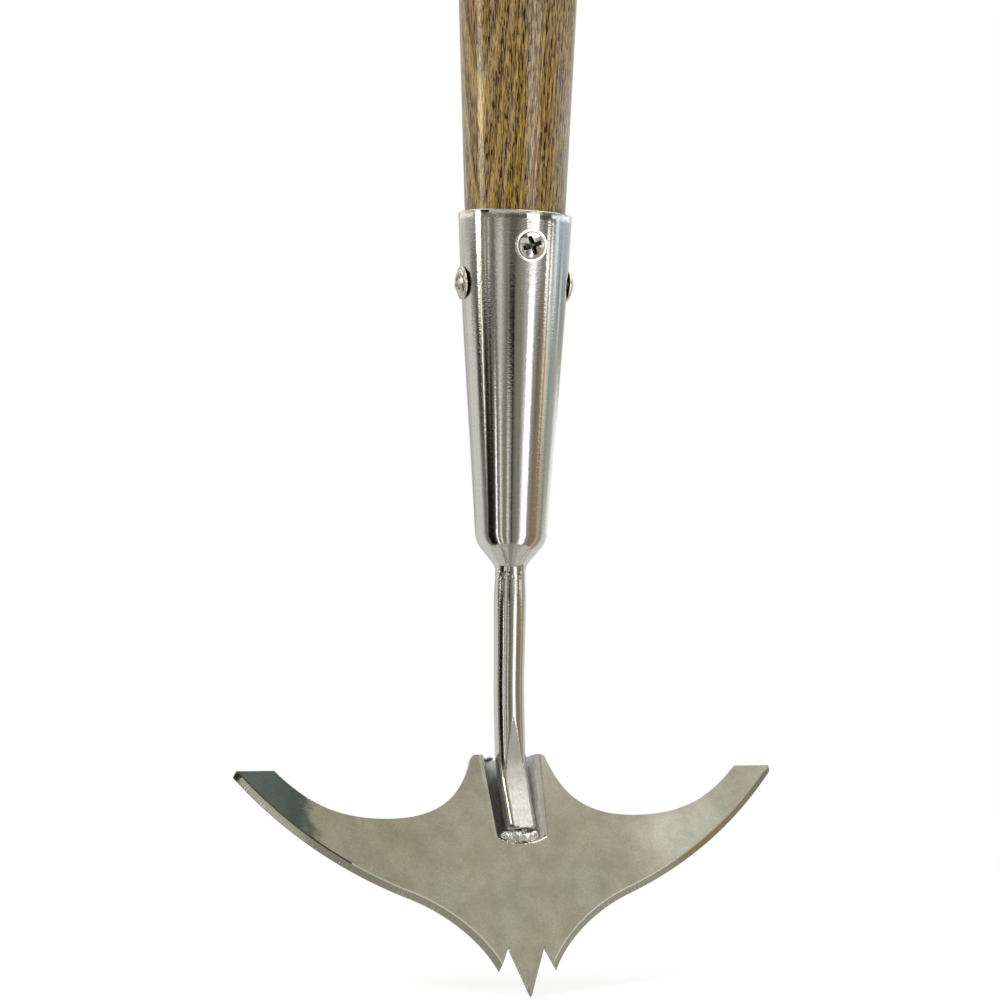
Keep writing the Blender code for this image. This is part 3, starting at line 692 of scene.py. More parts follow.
def shaded(mesh: Mesh, *finishes: Material) -> Mesh:
    """Give a mesh its materials, and smooth shading with sharp corners.

    Args:
        mesh: The mesh.
        *finishes: Its materials, in the order of its faces' numbers.

    Returns:
        The same mesh.
    """
    for material in finishes:
        mesh.materials.append(material)
    mesh.shade_smooth()
    mesh.set_sharp_from_angle(angle=SHARP_ANGLE)
    return mesh


def from_bmesh(name: str, bm: bmesh.types.BMesh) -> Mesh:
    """Turn a bmesh to a mesh.

    Args:
        name: The mesh's name.
        bm: The bmesh, which is freed.

    Returns:
        The mesh.
    """
    mesh = bpy.data.meshes.new(name)
    bm.to_mesh(mesh)
    bm.free()
    return mesh


def new_object(name: str, data: Mesh | bpy.types.Camera | bpy.types.Light) -> Object:
    """An object of the scene.

    Args:
        name: Its name.
        data: Its mesh, camera or light.

    Returns:
        The object.
    """
    made = bpy.data.objects.new(name, data)
    bpy.context.scene.collection.objects.link(made)
    return made


def aimed(place: Vector, along: Vector) -> Matrix:
    """Where a camera or lamp is and where it points, upright."""
    return Matrix.Translation(place) @ along.to_track_quat("-Z", "Y").to_matrix().to_4x4()


def evaluated(obj: Object, name: str) -> Mesh:
    """Take an object's mesh with its modifiers, and remove the object.

    Args:
        obj: The object.
        name: The new mesh's name.

    Returns:
        The mesh, as the modifiers leave it.
    """
    bpy.context.view_layer.update()
    graph = bpy.context.evaluated_depsgraph_get()
    mesh = bpy.data.meshes.new_from_object(obj.evaluated_get(graph))
    mesh.name = name
    bpy.data.objects.remove(obj)
    return mesh


def seat(piece: Object, node: str) -> Object:
    """Let a piece ride on the tool in its node's place, and hide that node.

    Args:
        piece: The piece.
        node: The node that it replaces.

    Returns:
        The same piece.
    """
    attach(piece, BODY)
    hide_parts(node)
    return piece


# The tool
@dataclass
class Plate:
    """The blade's plane: a plate that leans forward, tip first."""

    tilt: float = math.radians(22)
    thickness: float = 2.0 * MM
    crossing: float = 66.2 * MM        # height at which its front crosses the handle's axis

    def tip(self) -> Vector:
        """The front edge of the middle tooth's tip, whose back edge is at z = 0."""
        rise = self.thickness * math.sin(self.tilt)
        return Vector((0.0, -(self.crossing - rise) * math.tan(self.tilt), rise))

    def place(self, x: float, height: float, depth: float) -> Vector:
        """The place in the row frame of a place in the plate frame.

        Args:
            x: Place across the plate.
            height: Height up the plate.
            depth: Depth from its front face.

        Returns:
            The place in the row frame.
        """
        up = Vector((0.0, math.sin(self.tilt), math.cos(self.tilt)))
        inward = Vector((0.0, math.cos(self.tilt), -math.sin(self.tilt)))
        return self.tip() + Vector((x, 0.0, 0.0)) + up * height + inward * depth

    def matrix(self) -> Matrix:
        """From the plate frame, with depth as y and height as z, to the row frame."""
        return Matrix.Translation(self.tip()) @ Matrix.Rotation(-self.tilt, 4, "X")


@dataclass
class Groove:
    """The groove that is pressed into the plate for the neck, open at the upper edge."""

    plate: Plate
    top: float = 71.2 * MM
    half_width_top: float = 7.2 * MM
    half_width_end: float = 6.2 * MM
    end_height: float = 44.6 * MM
    end_sagitta: float = 1.9 * MM
    press_depth: float = 6.1 * MM
    shift: float = 1.25 * MM           # its foot lies a little to the right
    left_lip: float = 0.8 * MM         # reach of the crisp left fold
    right_lip: float = 2.1 * MM        # reach of the soft right fold
    back_lip: float = 1.6 * MM
    crisp_join: float = 0.97           # share of the half width at which a fold starts
    soft_join: float = 0.88

    def half_width(self, height: float) -> float:
        """Half width at a height up the plate, above the rounded foot."""
        share = (height - self.end_height) / (self.top - self.end_height)
        return self.half_width_end + (self.half_width_top - self.half_width_end) * share

    def flattening(self) -> float:
        """Depth for each unit of half width."""
        return self.press_depth / self.half_width_top

    def floor(self, height: float) -> float:
        """Depth of the floor under the front face."""
        return self.half_width(height) * self.flattening()

    def across(self, x: float, height: float) -> float:
        """How far right of the groove's own leaning centre line a place lies."""
        return x - self.shift * (self.top - height) / (self.top - self.end_height)

    def reach(self, height: float, grow: float) -> float:
        """Half width of the stamp at a height, domed foot included.

        Args:
            height: Height up the plate.
            grow: How much larger the stamp is than the hollow.

        Returns:
            The half width, or 0 below the foot.
        """
        end, side = self.end_height - grow, self.end_height + self.end_sagitta
        if height <= end:
            return 0.0
        if height >= side:
            return self.half_width(height) + grow
        foot, rise = self.half_width(side) + grow, side - end
        radius = (foot**2 + rise**2) / (2 * rise)
        return math.sqrt(max(0.0, radius**2 - (end + radius - height) ** 2))

    def sunk(self, x: float, height: float, grow: float, base: float, lips: Point, join: Point) -> float:
        """Depth of one face of the pressed sheet, with the folds at its lips.

        Args:
            x: Place across the plate.
            height: Height up the plate.
            grow: How much larger the stamp is than the hollow.
            base: Depth of the flat face around it.
            lips: Reach of the left and right folds outside the stamp.
            join: Share of the half width at which the left and right folds start.

        Returns:
            The depth under the front face.
        """
        aside = self.across(x, height)
        right = aside > 0
        half = self.reach(height, grow)
        edge, start = half + lips[right], half * join[right]
        distance = abs(aside)
        if half <= 0 or distance >= edge:
            return base
        if distance <= start:
            return max(base, self.flattening() * math.sqrt(half**2 - distance**2))
        rim = math.sqrt(half**2 - start**2)
        depth = max(base, self.flattening() * rim)
        slope = -self.flattening() * start / rim * (edge - start)
        t = (distance - start) / (edge - start)
        fold = depth * (2 * t**3 - 3 * t**2 + 1) + slope * (t**3 - 2 * t**2 + t)
        return max(base, fold + base * (3 * t**2 - 2 * t**3))

    def front(self, x: float, height: float) -> float:
        """Depth of the front face."""
        return self.sunk(x, height, 0.0, 0.0, (self.left_lip, self.right_lip),
                         (self.crisp_join, self.soft_join))

    def back(self, x: float, height: float) -> float:
        """Depth of the back face."""
        thick = self.plate.thickness
        return self.sunk(x, height, thick, thick, (self.back_lip,) * 2, (self.soft_join,) * 2)


@dataclass
class Blade:
    """Bat-wing plate with bevelled lower edges, three teeth and the neck's groove."""

    plate: Plate
    groove: Groove
    half_span: float = 82.3 * MM
    end_height: float = 67.0 * MM
    end_width: float = 12.8 * MM
    corner_cut: float = 1.8 * MM
    edge_radius: float = 124 * MM
    flank: Point = (33.0 * MM, 29.3 * MM)
    flank_pull: float = 13.4 * MM
    tooth_pull: float = 8.0 * MM
    tooth_slope: float = math.radians(66)
    side_tooth: Point = (8.5 * MM, 7.4 * MM)
    notch: Point = (5.3 * MM, 14.3 * MM)
    low: Point = (37.0 * MM, 52.4 * MM)
    ear_height: float = 71.2 * MM
    ear_half_width: float = 11.4 * MM
    ear_radius: float = 1.8 * MM
    ear_slope: float = math.radians(71)
    ear_pull: float = 11.5 * MM
    hollow_pull: float = 15.5 * MM
    end_slope: float = math.radians(47)
    end_pull: float = 12.5 * MM
    bevel_width: float = 1.9 * MM
    edge_land: float = 0.3 * MM
    rounding: float = 0.25 * MM        # of every edge, from tumbling
    rounding_steps: int = 2
    rounded_from: float = math.radians(50)
    coarse: float = 3.2 * MM           # grid on the flat plate
    fine: float = 0.42 * MM            # grid up the groove
    fine_reach: float = 1.75           # half widths that the fine grid covers, in this many columns
    fine_columns: int = 43
    lip_columns: tuple[float, ...] = (-1.03, -0.985, 0.985, 1.03)
    flat_from: float = 13.5 * MM       # how far from the groove's middle the coarse grid starts
    margin: float = 0.5 * MM           # between the grid and an outline
    merge: float = 0.0005 * MM         # how close two points of the outline count as one
    dressed_from: float = 0.25 * MM    # depth in the groove from which it is dressed

    def cutting_edge(self) -> tuple[list[Vector], list[Vector]]:
        """The right-hand cutting edge.

        Returns:
            Its points from the wing's end to the side tooth, and their inward normals.
        """
        tip, turn_in = Vector((self.half_span, self.end_height)), Vector(self.flank)
        chord = tip - turn_in
        rise = math.sqrt(self.edge_radius**2 - (chord.length / 2) ** 2)
        centre = (tip + turn_in) / 2 + Vector((-chord.y, chord.x)).normalized() * rise
        end_angle = math.asin((tip.x - centre.x) / self.edge_radius)
        flank_angle = math.asin((turn_in.x - centre.x) / self.edge_radius)
        blunt = end_angle - self.corner_cut / self.edge_radius
        down = math.pi / 2
        wing = arc(tuple(centre), self.edge_radius, blunt - down, flank_angle - down, steps=60)
        wing.insert(0, (tip.x - self.corner_cut, tip.y))
        flank = bezier(wing[-1], towards(math.pi + flank_angle, self.flank_pull),
                       towards(self.tooth_slope, self.tooth_pull), self.side_tooth, steps=40)
        points = [Vector(p) for p in wing + flank[1:]]
        normals = []
        for i in range(len(points)):
            run = points[min(i + 1, len(points) - 1)] - points[max(i - 1, 0)]
            normals.append(Vector((run.y, -run.x)).normalized())
        return points, normals

    def ground_line(self, points: list[Vector], normals: list[Vector]) -> list[Vector]:
        """The bevel's upper line, ended on the plate's own edges.

        Args:
            points: The cutting edge.
            normals: Its inward normals.

        Returns:
            The line, with as many points.
        """
        moved = [p + n * self.bevel_width for p, n in zip(points, normals)]
        last = points[-1]
        moved[0] = Vector((self.half_span - self.bevel_width / abs(normals[1].x), self.end_height))
        up = (Vector(self.notch) - last).normalized()
        moved[-1] = last + up * (self.bevel_width / up.dot(normals[-1]))
        return moved

    def upper_outline(self) -> list[Point]:
        """The right half of the upper outline.

        Returns:
            Its points, from the groove's middle to the wing's end.
        """
        centre = (self.ear_half_width - self.ear_radius, self.ear_height - self.ear_radius)
        corner = arc(centre, self.ear_radius, math.pi / 2, math.pi / 2 - self.ear_slope, steps=10)
        inner = bezier(corner[-1], towards(-self.ear_slope, self.ear_pull), (-self.hollow_pull, 0.0),
                       self.low, steps=30)
        end = (self.half_span - self.end_width, self.end_height)
        outer = bezier(self.low, (self.hollow_pull, 0.0),
                       towards(math.pi + self.end_slope, self.end_pull), end, steps=30)
        steps = round(corner[0][0] / self.fine)
        top = [(corner[0][0] * i / steps, self.ear_height) for i in range(steps)]
        return top + corner + inner[1:] + outer[1:]

    def grid(self, boundary: list[Vector]) -> list[Vector]:
        """Points inside the outline: sparse on the flat, dense over the groove.

        Args:
            boundary: The outline that they keep away from.

        Returns:
            The points.
        """
        ring = np.array([tuple(p) for p in boundary])
        after = np.roll(ring, -1, axis=0)
        found = []
        groove_foot = self.groove.end_height - self.groove.back_lip - self.plate.thickness
        rows = np.arange(groove_foot, self.ear_height, self.fine)
        columns = np.linspace(-self.fine_reach, self.fine_reach, self.fine_columns)
        offsets = np.concatenate([columns, self.lip_columns])
        for height in rows:
            half = self.groove.half_width(float(height))
            centre = -self.groove.across(0.0, float(height))
            found += [(centre + s * half, float(height)) for s in offsets]
        spread = self.coarse * np.sqrt(0.75)
        for j, height in enumerate(np.arange(0.0, self.ear_height, spread)):
            shift = self.coarse / 2 * (j % 2)
            for x in np.arange(-self.half_span, self.half_span, self.coarse) + shift:
                beside = abs(self.groove.across(x, height)) >= self.flat_from
                if beside or height <= groove_foot - self.coarse / 2:
                    found.append((float(x), float(height)))
        edge = after - ring
        keep = []
        for place in np.array(found):
            along = np.clip(((place - ring) * edge).sum(1) / (edge**2).sum(1), 0.0, 1.0)
            gap = np.linalg.norm(ring + edge * along[:, None] - place, axis=1).min()
            near_top = place[1] > self.ear_height - self.fine
            if gap > (self.fine / 2 if near_top else self.margin) and inside(ring, place):
                keep.append(Vector(place))
        return keep

    def triangles(self) -> tuple[list[Vector], list[list[int]], list[float], list[bool]]:
        """Cover the outline with triangles that keep to the bevels' upper lines.

        Returns:
            The places in the plate's plane, the triangles, and for each place how far along the
            cutting edge it lies and whether it is on that edge.
        """
        edge, normals = self.cutting_edge()
        ground = self.ground_line(edge, normals)
        upper = [Vector(p) for p in self.upper_outline()]
        runs = [0.0]
        for before, after in zip(edge, edge[1:]):
            runs.append(runs[-1] + (after - before).length)
        teeth = [Vector(self.notch), Vector((0.0, 0.0))]
        right = [*upper, ground[0], *edge, ground[-1], *teeth]
        outline = whole(right)
        points = list(outline)
        edges = [(i, (i + 1) % len(outline)) for i in range(len(outline))]
        first_ground = len(upper)
        last_ground = len(upper) + 1 + len(edge)
        mirrored = {i: len(outline) - i for i in range(1, len(right) - 1)}
        run_at: dict[int, float] = {}
        low_at: set[int] = set()
        for number, run in enumerate(runs):
            index = first_ground + 1 + number
            for i in (index, mirrored[index]):
                run_at[i] = run
                low_at.add(i)
        for side, start, stop in ((1, first_ground, last_ground),
                                  (-1, mirrored[first_ground], mirrored[last_ground])):
            previous = start
            run_at[start], run_at[stop] = runs[0], runs[-1]
            for number in range(1, len(ground) - 1):
                points.append(Vector((side * ground[number].x, ground[number].y)))
                run_at[len(points) - 1] = runs[number]
                edges.append((previous, len(points) - 1))
                previous = len(points) - 1
            edges.append((previous, stop))
        points += self.grid(whole([*upper, *ground, *teeth]))
        found, _, faces, origins, _, _ = delaunay_2d_cdt(points, edges, [], 1, self.merge, True)
        ring = np.array([tuple(p) for p in outline])
        flat = np.array([tuple(p) for p in found])
        faces = [face for face in faces if inside(ring, flat[face].mean(0))]
        run_of = [next((run_at[o] for o in source if o in run_at), 0.0) for source in origins]
        return found, faces, run_of, [any(o in low_at for o in source) for source in origins]

    def mesh(self) -> Mesh:
        """Front and back faces over one triangulation, joined by walls.

        Returns:
            The closed mesh, in the row frame.
        """
        found, faces, runs, on_edge = self.triangles()
        count = len(found)
        foot = self.plate.thickness - self.edge_land
        front = [(p.x, foot if low else self.groove.front(p.x, p.y), p.y)
                 for p, low in zip(found, on_edge)]
        back = [(p.x, self.groove.back(p.x, p.y), p.y) for p in found]
        used = {pair: True for face in faces for pair in zip(face, [*face[1:], face[0]])}
        shell = [tuple(f) for f in faces] + [tuple(count + i for i in reversed(f)) for f in faces]
        shell += [(b, a, count + a, count + b) for a, b in used if (b, a) not in used]
        mesh = bpy.data.meshes.new("blade_sheet")
        mesh.from_pydata(front + back, [], shell)
        for polygon, face in zip(mesh.polygons, faces):
            hollow = all(front[i][1] > self.dressed_from for i in face)
            polygon.material_index = 1 if any(on_edge[i] for i in face) else 2 if hollow else 0
        for mark, values in ((EDGE_RUN, runs), (EDGE_REACH, [float(low) for low in on_edge])):
            mesh.attributes.new(mark, "FLOAT", "POINT").data.foreach_set("value", values + values)
        mesh.transform(self.plate.matrix())
        return mesh

    def build(self, sheet: Material, ground: Material, dressed: Material) -> Object:
        """Make the blade.

        Args:
            sheet: The plate's material.
            ground: The bevels' material.
            dressed: The groove's material.

        Returns:
            The seated piece.
        """
        piece = new_object("blade_plate", shaded(self.mesh(), sheet, ground, dressed))
        soften = piece.modifiers.new("rounded edges", "BEVEL")
        soften.width = self.rounding
        soften.segments = self.rounding_steps
        soften.limit_method = "ANGLE"
        soften.angle_limit = self.rounded_from
        level = piece.modifiers.new("level faces", "WEIGHTED_NORMAL")
        level.keep_sharp = True
        return seat(piece, "blade")


@dataclass
class Socket:
    """Rolled cone with a rounded shoulder, drawn in to the waist where the neck is welded."""

    waist_z: float = (66.2 + 53.4) * MM     # from where the plate's front crosses the axis
    waist_radius: float = 4.45 * MM
    shoulder_radius: float = 10.55 * MM
    shoulder_slope: float = math.radians(40)
    outer_fillet: float = 8.0 * MM
    inner_fillet: float = 4.0 * MM
    cone_length: float = 92.4 * MM
    mouth_radius: float = 16.5 * MM
    wall: float = 1.6 * MM
    rim_round: float = 0.35 * MM
    cone_rings: int = 40
    swell: float = 0.3 * MM            # the rolled cone bulges this much, two thirds up
    mouth_skew: float = math.radians(1.8)   # the mouth was cut a little askew, low at the right
    skew_reach: float = 12 * MM
    throat: float = 3.6 * MM
    segments: int = 192

    def __post_init__(self) -> None:
        """Work out the heights that follow from the sizes."""
        self.cone_angle = math.atan((self.mouth_radius - self.shoulder_radius) / self.cone_length)
        lower = fillet_rise(self.inner_fillet, 0.0, self.shoulder_slope)
        upper = fillet_rise(self.outer_fillet, self.cone_angle, self.shoulder_slope)
        straight = self.shoulder_radius - upper[0] - self.waist_radius - lower[0]
        rise = straight / math.tan(self.shoulder_slope)
        self.throat_z = self.waist_z + lower[1]
        self.shoulder_z = self.waist_z + lower[1] + rise + upper[1]
        self.mouth_z = self.shoulder_z + self.cone_length

    def radius(self, z: float) -> float:
        """Outer radius of the cone at a height."""
        return self.shoulder_radius + (z - self.shoulder_z) * math.tan(self.cone_angle)

    def skin_radius(self, z: float) -> float:
        """Radius of the bulging outer skin at a height of the cone."""
        share = min(1.0, max(0.0, (z - self.shoulder_z) / self.cone_length))
        return self.radius(z) + self.swell * share**2 * (1 - share) * 27 / 4    # one swell at most

    def inner_foot(self) -> Point:
        """Where the bore meets the shoulder's inside.

        Returns:
            The radius and height.
        """
        slope, cone = math.tan(self.shoulder_slope), math.tan(self.cone_angle)
        rise = (self.radius(self.throat_z) - self.wall - self.throat) / (slope - cone)
        return (self.throat + slope * rise, self.throat_z + rise)

    def profile(self) -> list[Point]:
        """The socket's section.

        Returns:
            Its radii and heights, down its outer side and up its bore.
        """
        upper = (self.shoulder_radius - self.outer_fillet * math.cos(self.cone_angle),
                 self.shoulder_z + self.outer_fillet * math.sin(self.cone_angle))
        lower = (self.waist_radius + self.inner_fillet, self.waist_z)
        rim = self.rim_round
        outer_rim = arc((self.mouth_radius - rim, self.mouth_z - rim), rim, math.pi / 2, 0.0, steps=4)
        inner_corner = (self.mouth_radius - self.wall + rim, self.mouth_z - rim)
        inner_rim = arc(inner_corner, rim, math.pi, math.pi / 2, steps=4)
        steps = self.cone_rings
        heights = [self.mouth_z - rim - (self.cone_length - rim) * i / steps for i in range(1, steps)]
        cone = [(self.skin_radius(z), z) for z in heights]
        shoulder = arc(upper, self.outer_fillet, -self.cone_angle, -self.shoulder_slope, steps=16)
        waist = arc(lower, self.inner_fillet, math.pi - self.shoulder_slope, math.pi, steps=12)
        bore = [(self.throat, self.waist_z), (self.throat, self.throat_z), self.inner_foot()]
        return outer_rim + cone + shoulder + waist + bore + inner_rim

    def build(self, steel: Material) -> Object:
        """Make the socket.

        Args:
            steel: Its material.

        Returns:
            The seated piece.
        """
        mesh = lathe("socket_shell", self.profile(), self.segments, closed=True)
        for vertex in mesh.vertices:
            share = eased(1 - (self.mouth_z - vertex.co.z) / self.skew_reach)
            vertex.co.z -= vertex.co.x * math.tan(self.mouth_skew) * share
        return seat(new_object("socket_shell", shaded(mesh, steel)), "socket")


@dataclass
class Handle:
    """Turned ash shaft with a rounded end, tapered to the socket's bore."""

    socket: Socket
    length: float = 1500 * MM
    radius: float = 17.5 * MM
    taper_length: float = 66 * MM
    easing: float = 8 * MM
    taper_step: float = 0.15 * MM
    end_rounding: float = 7.0 * MM
    fit: float = 0.3 * MM              # between tenon and bore
    end_gap: float = 2.0 * MM
    chamfer: float = 1.0 * MM
    shaft_rings: int = 40
    taper_rings: int = 12
    segments: int = 144

    def profile(self) -> list[Point]:
        """The handle's section.

        Returns:
            Its radii and heights, from the rounded upper end down to the tenon's foot.
        """
        socket = self.socket
        foot = socket.inner_foot()[1] + self.end_gap
        top = foot + self.length
        fit = socket.wall + self.fit
        straight_z = top - self.end_rounding
        corner = (self.radius - self.end_rounding, straight_z)
        rounding = arc(corner, self.end_rounding, math.pi / 2, 0.0, steps=14)
        taper_z = socket.mouth_z + self.taper_length
        ease_z = taper_z + self.easing
        shaft = [(self.radius, straight_z - (straight_z - ease_z) * i / self.shaft_rings)
                 for i in range(1, self.shaft_rings + 1)]
        eased_radius = self.radius - self.taper_step
        shaft.append((eased_radius, taper_z))
        mouth = (socket.mouth_radius - fit, socket.mouth_z)
        for i in range(1, self.taper_rings + 1):
            share = i / self.taper_rings
            shaft.append((eased_radius + (mouth[0] - eased_radius) * share,
                          taper_z + (mouth[1] - taper_z) * share))
        chamfer_z = foot + self.chamfer
        tenon = [
            (socket.radius(chamfer_z) - fit, chamfer_z), (socket.radius(foot) - fit - self.chamfer, foot)]
        return rounding + shaft + tenon

    def build(self, wood: Material) -> Object:
        """Make the handle in its wood."""
        mesh = lathe("handle_shaft", self.profile(), self.segments)
        return seat(new_object("handle_shaft", shaded(mesh, wood)), "handle")


@dataclass
class Neck:
    """Round rod from the socket to the groove, bent forward, its front ground flat at the foot."""

    plate: Plate
    groove: Groove
    socket: Socket
    radius_top: float = 4.75 * MM
    radius_middle: float = 4.5 * MM
    radius_end: float = 4.4 * MM
    swell_drop: float = 8.0 * MM
    bend_radius: float = 22 * MM
    end_height: float = 48.3 * MM
    lean: float = 2.0 * MM
    lean_start: float = 22 * MM
    lean_power: float = 1.5
    flat_depth: float = 1.1 * MM
    flat_top: float = 79 * MM          # height at which the wheel first touches the front
    flat_full: float = 55 * MM         # height from which down it has its full depth
    seat_gap: float = 0.3 * MM
    entry: float = 1.5 * MM            # how far the rod runs on up inside the socket's lip
    end_round: float = 0.8 * MM
    step: float = 0.45 * MM
    bend_rings: int = 24
    softness: float = 0.05 * MM        # of the ground edges
    flat_beyond: float = 40.0          # softnesses inside the flat, from where nothing is left to ease
    wander: float = 0.02 * MM          # of the hand-held wheel
    wander_length: float = 3.5 * MM
    sides: int = 128

    def depth(self, height: float) -> float:
        """Depth of the rod's centre, seated on the groove's floor."""
        return self.groove.floor(height) - self.seat_gap - self.radius_end

    def centre_line(self) -> list[tuple[Vector, float]]:
        """The rod's rings.

        Returns:
            Their centres and radii, from the socket down to the rod's end.
        """
        plate, top = self.plate, self.groove.top
        end = plate.place(0.0, self.end_height, self.depth(self.end_height))
        upper = plate.place(0.0, top, self.depth(top))
        run = (upper - end).normalized()
        corner = end - run * (end.y / run.y)
        turn = math.atan2(run.y, run.z)
        bend_z = corner.z + self.bend_radius * math.tan(turn / 2)
        lean_top = plate.crossing + self.lean_start
        waist, swell = self.socket.waist_z, self.socket.waist_z - self.swell_drop
        line: list[tuple[Vector, float]] = []
        waist_radius = self.socket.waist_radius
        for z in np.arange(waist + self.entry, bend_z, -self.step):
            swelled = eased((waist - z) / self.swell_drop)
            near_top = waist_radius + (self.radius_top - waist_radius) * swelled
            thin = (self.radius_top - self.radius_middle) * eased((swell - z) / (swell - lean_top))
            line.append((Vector((0.0, 0.0, float(z))), near_top - thin))
        for i in range(self.bend_rings + 1):
            a = turn * i / self.bend_rings
            back, down = self.bend_radius * (math.cos(a) - 1), self.bend_radius * math.sin(a)
            line.append((Vector((0.0, back, bend_z - down)), self.radius_middle))
        last = line[-1][0]
        steps = round((last - end).length / self.step)
        for i in range(1, steps + 1):
            share = i / steps
            radius = self.radius_middle + (self.radius_end - self.radius_middle) * eased(2 * share)
            line.append((last.lerp(end, share), radius))
        leaned = []
        for place, radius in line:
            share = max(0.0, (lean_top - place.z) / (lean_top - end.z))
            leaned.append((place + Vector((self.lean * share**self.lean_power, 0.0, 0.0)), radius))
        return leaned

    def ground_depth(self, z: float) -> float:
        """How much of the front is ground away.

        Args:
            z: The height.

        Returns:
            The depth that is gone.
        """
        share = eased((self.flat_top - z) / (self.flat_top - self.flat_full))
        uneven = self.wander * noise.noise(Vector((0.0, 0.0, z / self.wander_length)))
        return max(0.0, (self.flat_depth + uneven) * share)

    def build(self, steel: Material, dressed: Material) -> Object:
        """Make the neck.

        Args:
            steel: Its material.
            dressed: The material of its ground front.

        Returns:
            The seated piece.
        """
        line = self.centre_line()
        flat: set[int] = set()
        across = Vector((1.0, 0.0, 0.0))
        rings = []
        angles = [math.tau * k / self.sides for k in range(self.sides)]
        for i, (centre, radius) in enumerate(line):
            run = (line[max(i - 1, 0)][0] - line[min(i + 1, len(line) - 1)][0]).normalized()
            out = run.cross(across).normalized()
            rounded = max(0.0, self.end_round - (centre - line[-1][0]).length)
            tuck = self.end_round - math.sqrt(max(0.0, self.end_round**2 - rounded**2))
            depth = self.ground_depth(centre.z)
            soft = min(self.softness, depth / 3)
            ring = []
            for k, a in enumerate(angles):
                behind = math.sin(a) * (radius - tuck)
                cut = depth - radius - behind
                if soft > 0:
                    behind += soft * math.log1p(math.exp(min(self.flat_beyond, cut / soft)))
                if cut > 0:
                    flat.add(i * self.sides + k)
                ring.append(tuple(centre + across * math.cos(a) * (radius - tuck) + out * behind))
            rings.append(np.array(ring))
        mesh = shaded(skin("neck_rod", rings), steel, dressed)
        for polygon in mesh.polygons:
            polygon.material_index = int(all(i in flat for i in polygon.vertices))
        return seat(new_object("neck_rod", mesh), "neck")


# A drop, in millimetres: where it is across, up and out of the plate, and its half width, half
# height and half depth
Drop = tuple[Triple, Triple]
END_DROPS: Sequence[Drop] = (
    ((1.7, 2.0, -2.6), (5.6, 2.4, 3.1)),
    ((2.9, 1.8, 0.0), (2.0, 1.6, 1.5)),
    ((0.6, 2.6, -0.6), (2.3, 1.3, 1.6)),
    ((-1.9, 2.4, -1.1), (2.5, 1.4, 1.6)),
    ((4.9, 2.5, -1.2), (2.2, 1.5, 1.7)),
)
TACK_DROPS: Sequence[Drop] = (
    ((-5.9, -0.5, -4.4), (1.5, 0.7, 2.0)),
    ((-4.9, -0.3, -3.6), (1.5, 0.6, 1.4)),
)


@dataclass
class Weld:
    """A lump of weld metal, made of drops that ran together."""

    name: str
    node: str
    plate: Plate
    base: float                        # height up the plate that the drops are measured from
    drops: Sequence[Drop]
    voxel: float = 0.16 * MM
    calming: int = 3
    ripple: float = 0.28 * MM
    ripple_size: float = 1.9 * MM
    facet: float = 0.2 * MM
    facet_size: float = 1.1 * MM
    facet_middle: float = 0.25         # about the average of the facets' noise, which stays level

    def build(self, metal: Material) -> Object:
        """Melt the drops together and ripple their skin.

        Args:
            metal: The weld's material.

        Returns:
            The seated piece.
        """
        bm = bmesh.new()
        for (x, rise, proud), (across, up, out) in self.drops:
            move = Matrix.Translation((x * MM, -proud * MM, self.base + rise * MM))
            size = Matrix.Diagonal((across * MM, out * MM, up * MM, 1.0))
            seated = self.plate.matrix() @ move @ size
            bmesh.ops.create_icosphere(bm, subdivisions=3, radius=1.0, matrix=seated)
        lump = new_object(self.name, from_bmesh(self.name, bm))
        melt = lump.modifiers.new("melted", "REMESH")
        melt.mode = "VOXEL"
        melt.voxel_size = self.voxel
        calm = lump.modifiers.new("calmed", "SMOOTH")
        calm.iterations = self.calming
        mesh = evaluated(lump, self.name)
        normals = [v.normal.copy() for v in mesh.vertices]
        for vertex, normal in zip(mesh.vertices, normals):
            slow = noise.noise(vertex.co / self.ripple_size)
            quick = abs(noise.noise(vertex.co / self.facet_size))
            vertex.co += normal * (self.ripple * slow + self.facet * (quick - self.facet_middle))
        return seat(new_object(self.name, shaded(mesh, metal)), self.node)


@dataclass
class CollarWeld:
    """Ring of weld between the socket's lip and the neck, dressed almost flush."""

    socket: Socket
    height: float = 2.6 * MM
    overlap: float = 0.25 * MM
    proud: float = 0.04 * MM
    bore: float = 3.6 * MM
    unevenness: float = 0.11 * MM
    spot: float = 0.8 * MM
    edge_drop: float = 0.02 * MM       # how much lower its skin is at the two edges
    rings: int = 10
    segments: int = 128

    def build(self, metal: Material) -> Object:
        """Make the ring, a little uneven where the grinder left the bead.

        Args:
            metal: Its material.

        Returns:
            The seated piece.
        """
        top, foot = self.socket.waist_z + self.overlap, self.socket.waist_z - self.height
        radius = self.socket.waist_radius + self.proud
        outer = [
            (radius - self.edge_drop * abs(2 * i / self.rings - 1) ** 3, top + (foot - top) * i / self.rings)
            for i in range(self.rings + 1)]
        section = [*outer, (self.bore, foot), (self.bore, top)]
        mesh = lathe("collar_bead", section, self.segments, closed=True)
        for vertex in mesh.vertices:
            out = Vector((vertex.co.x, vertex.co.y, 0.0))
            if out.length > self.bore + self.unevenness:
                vertex.co += out.normalized() * self.unevenness * noise.noise(vertex.co / self.spot)
        return seat(new_object("collar_bead", shaded(mesh, metal)), "collar_weld")


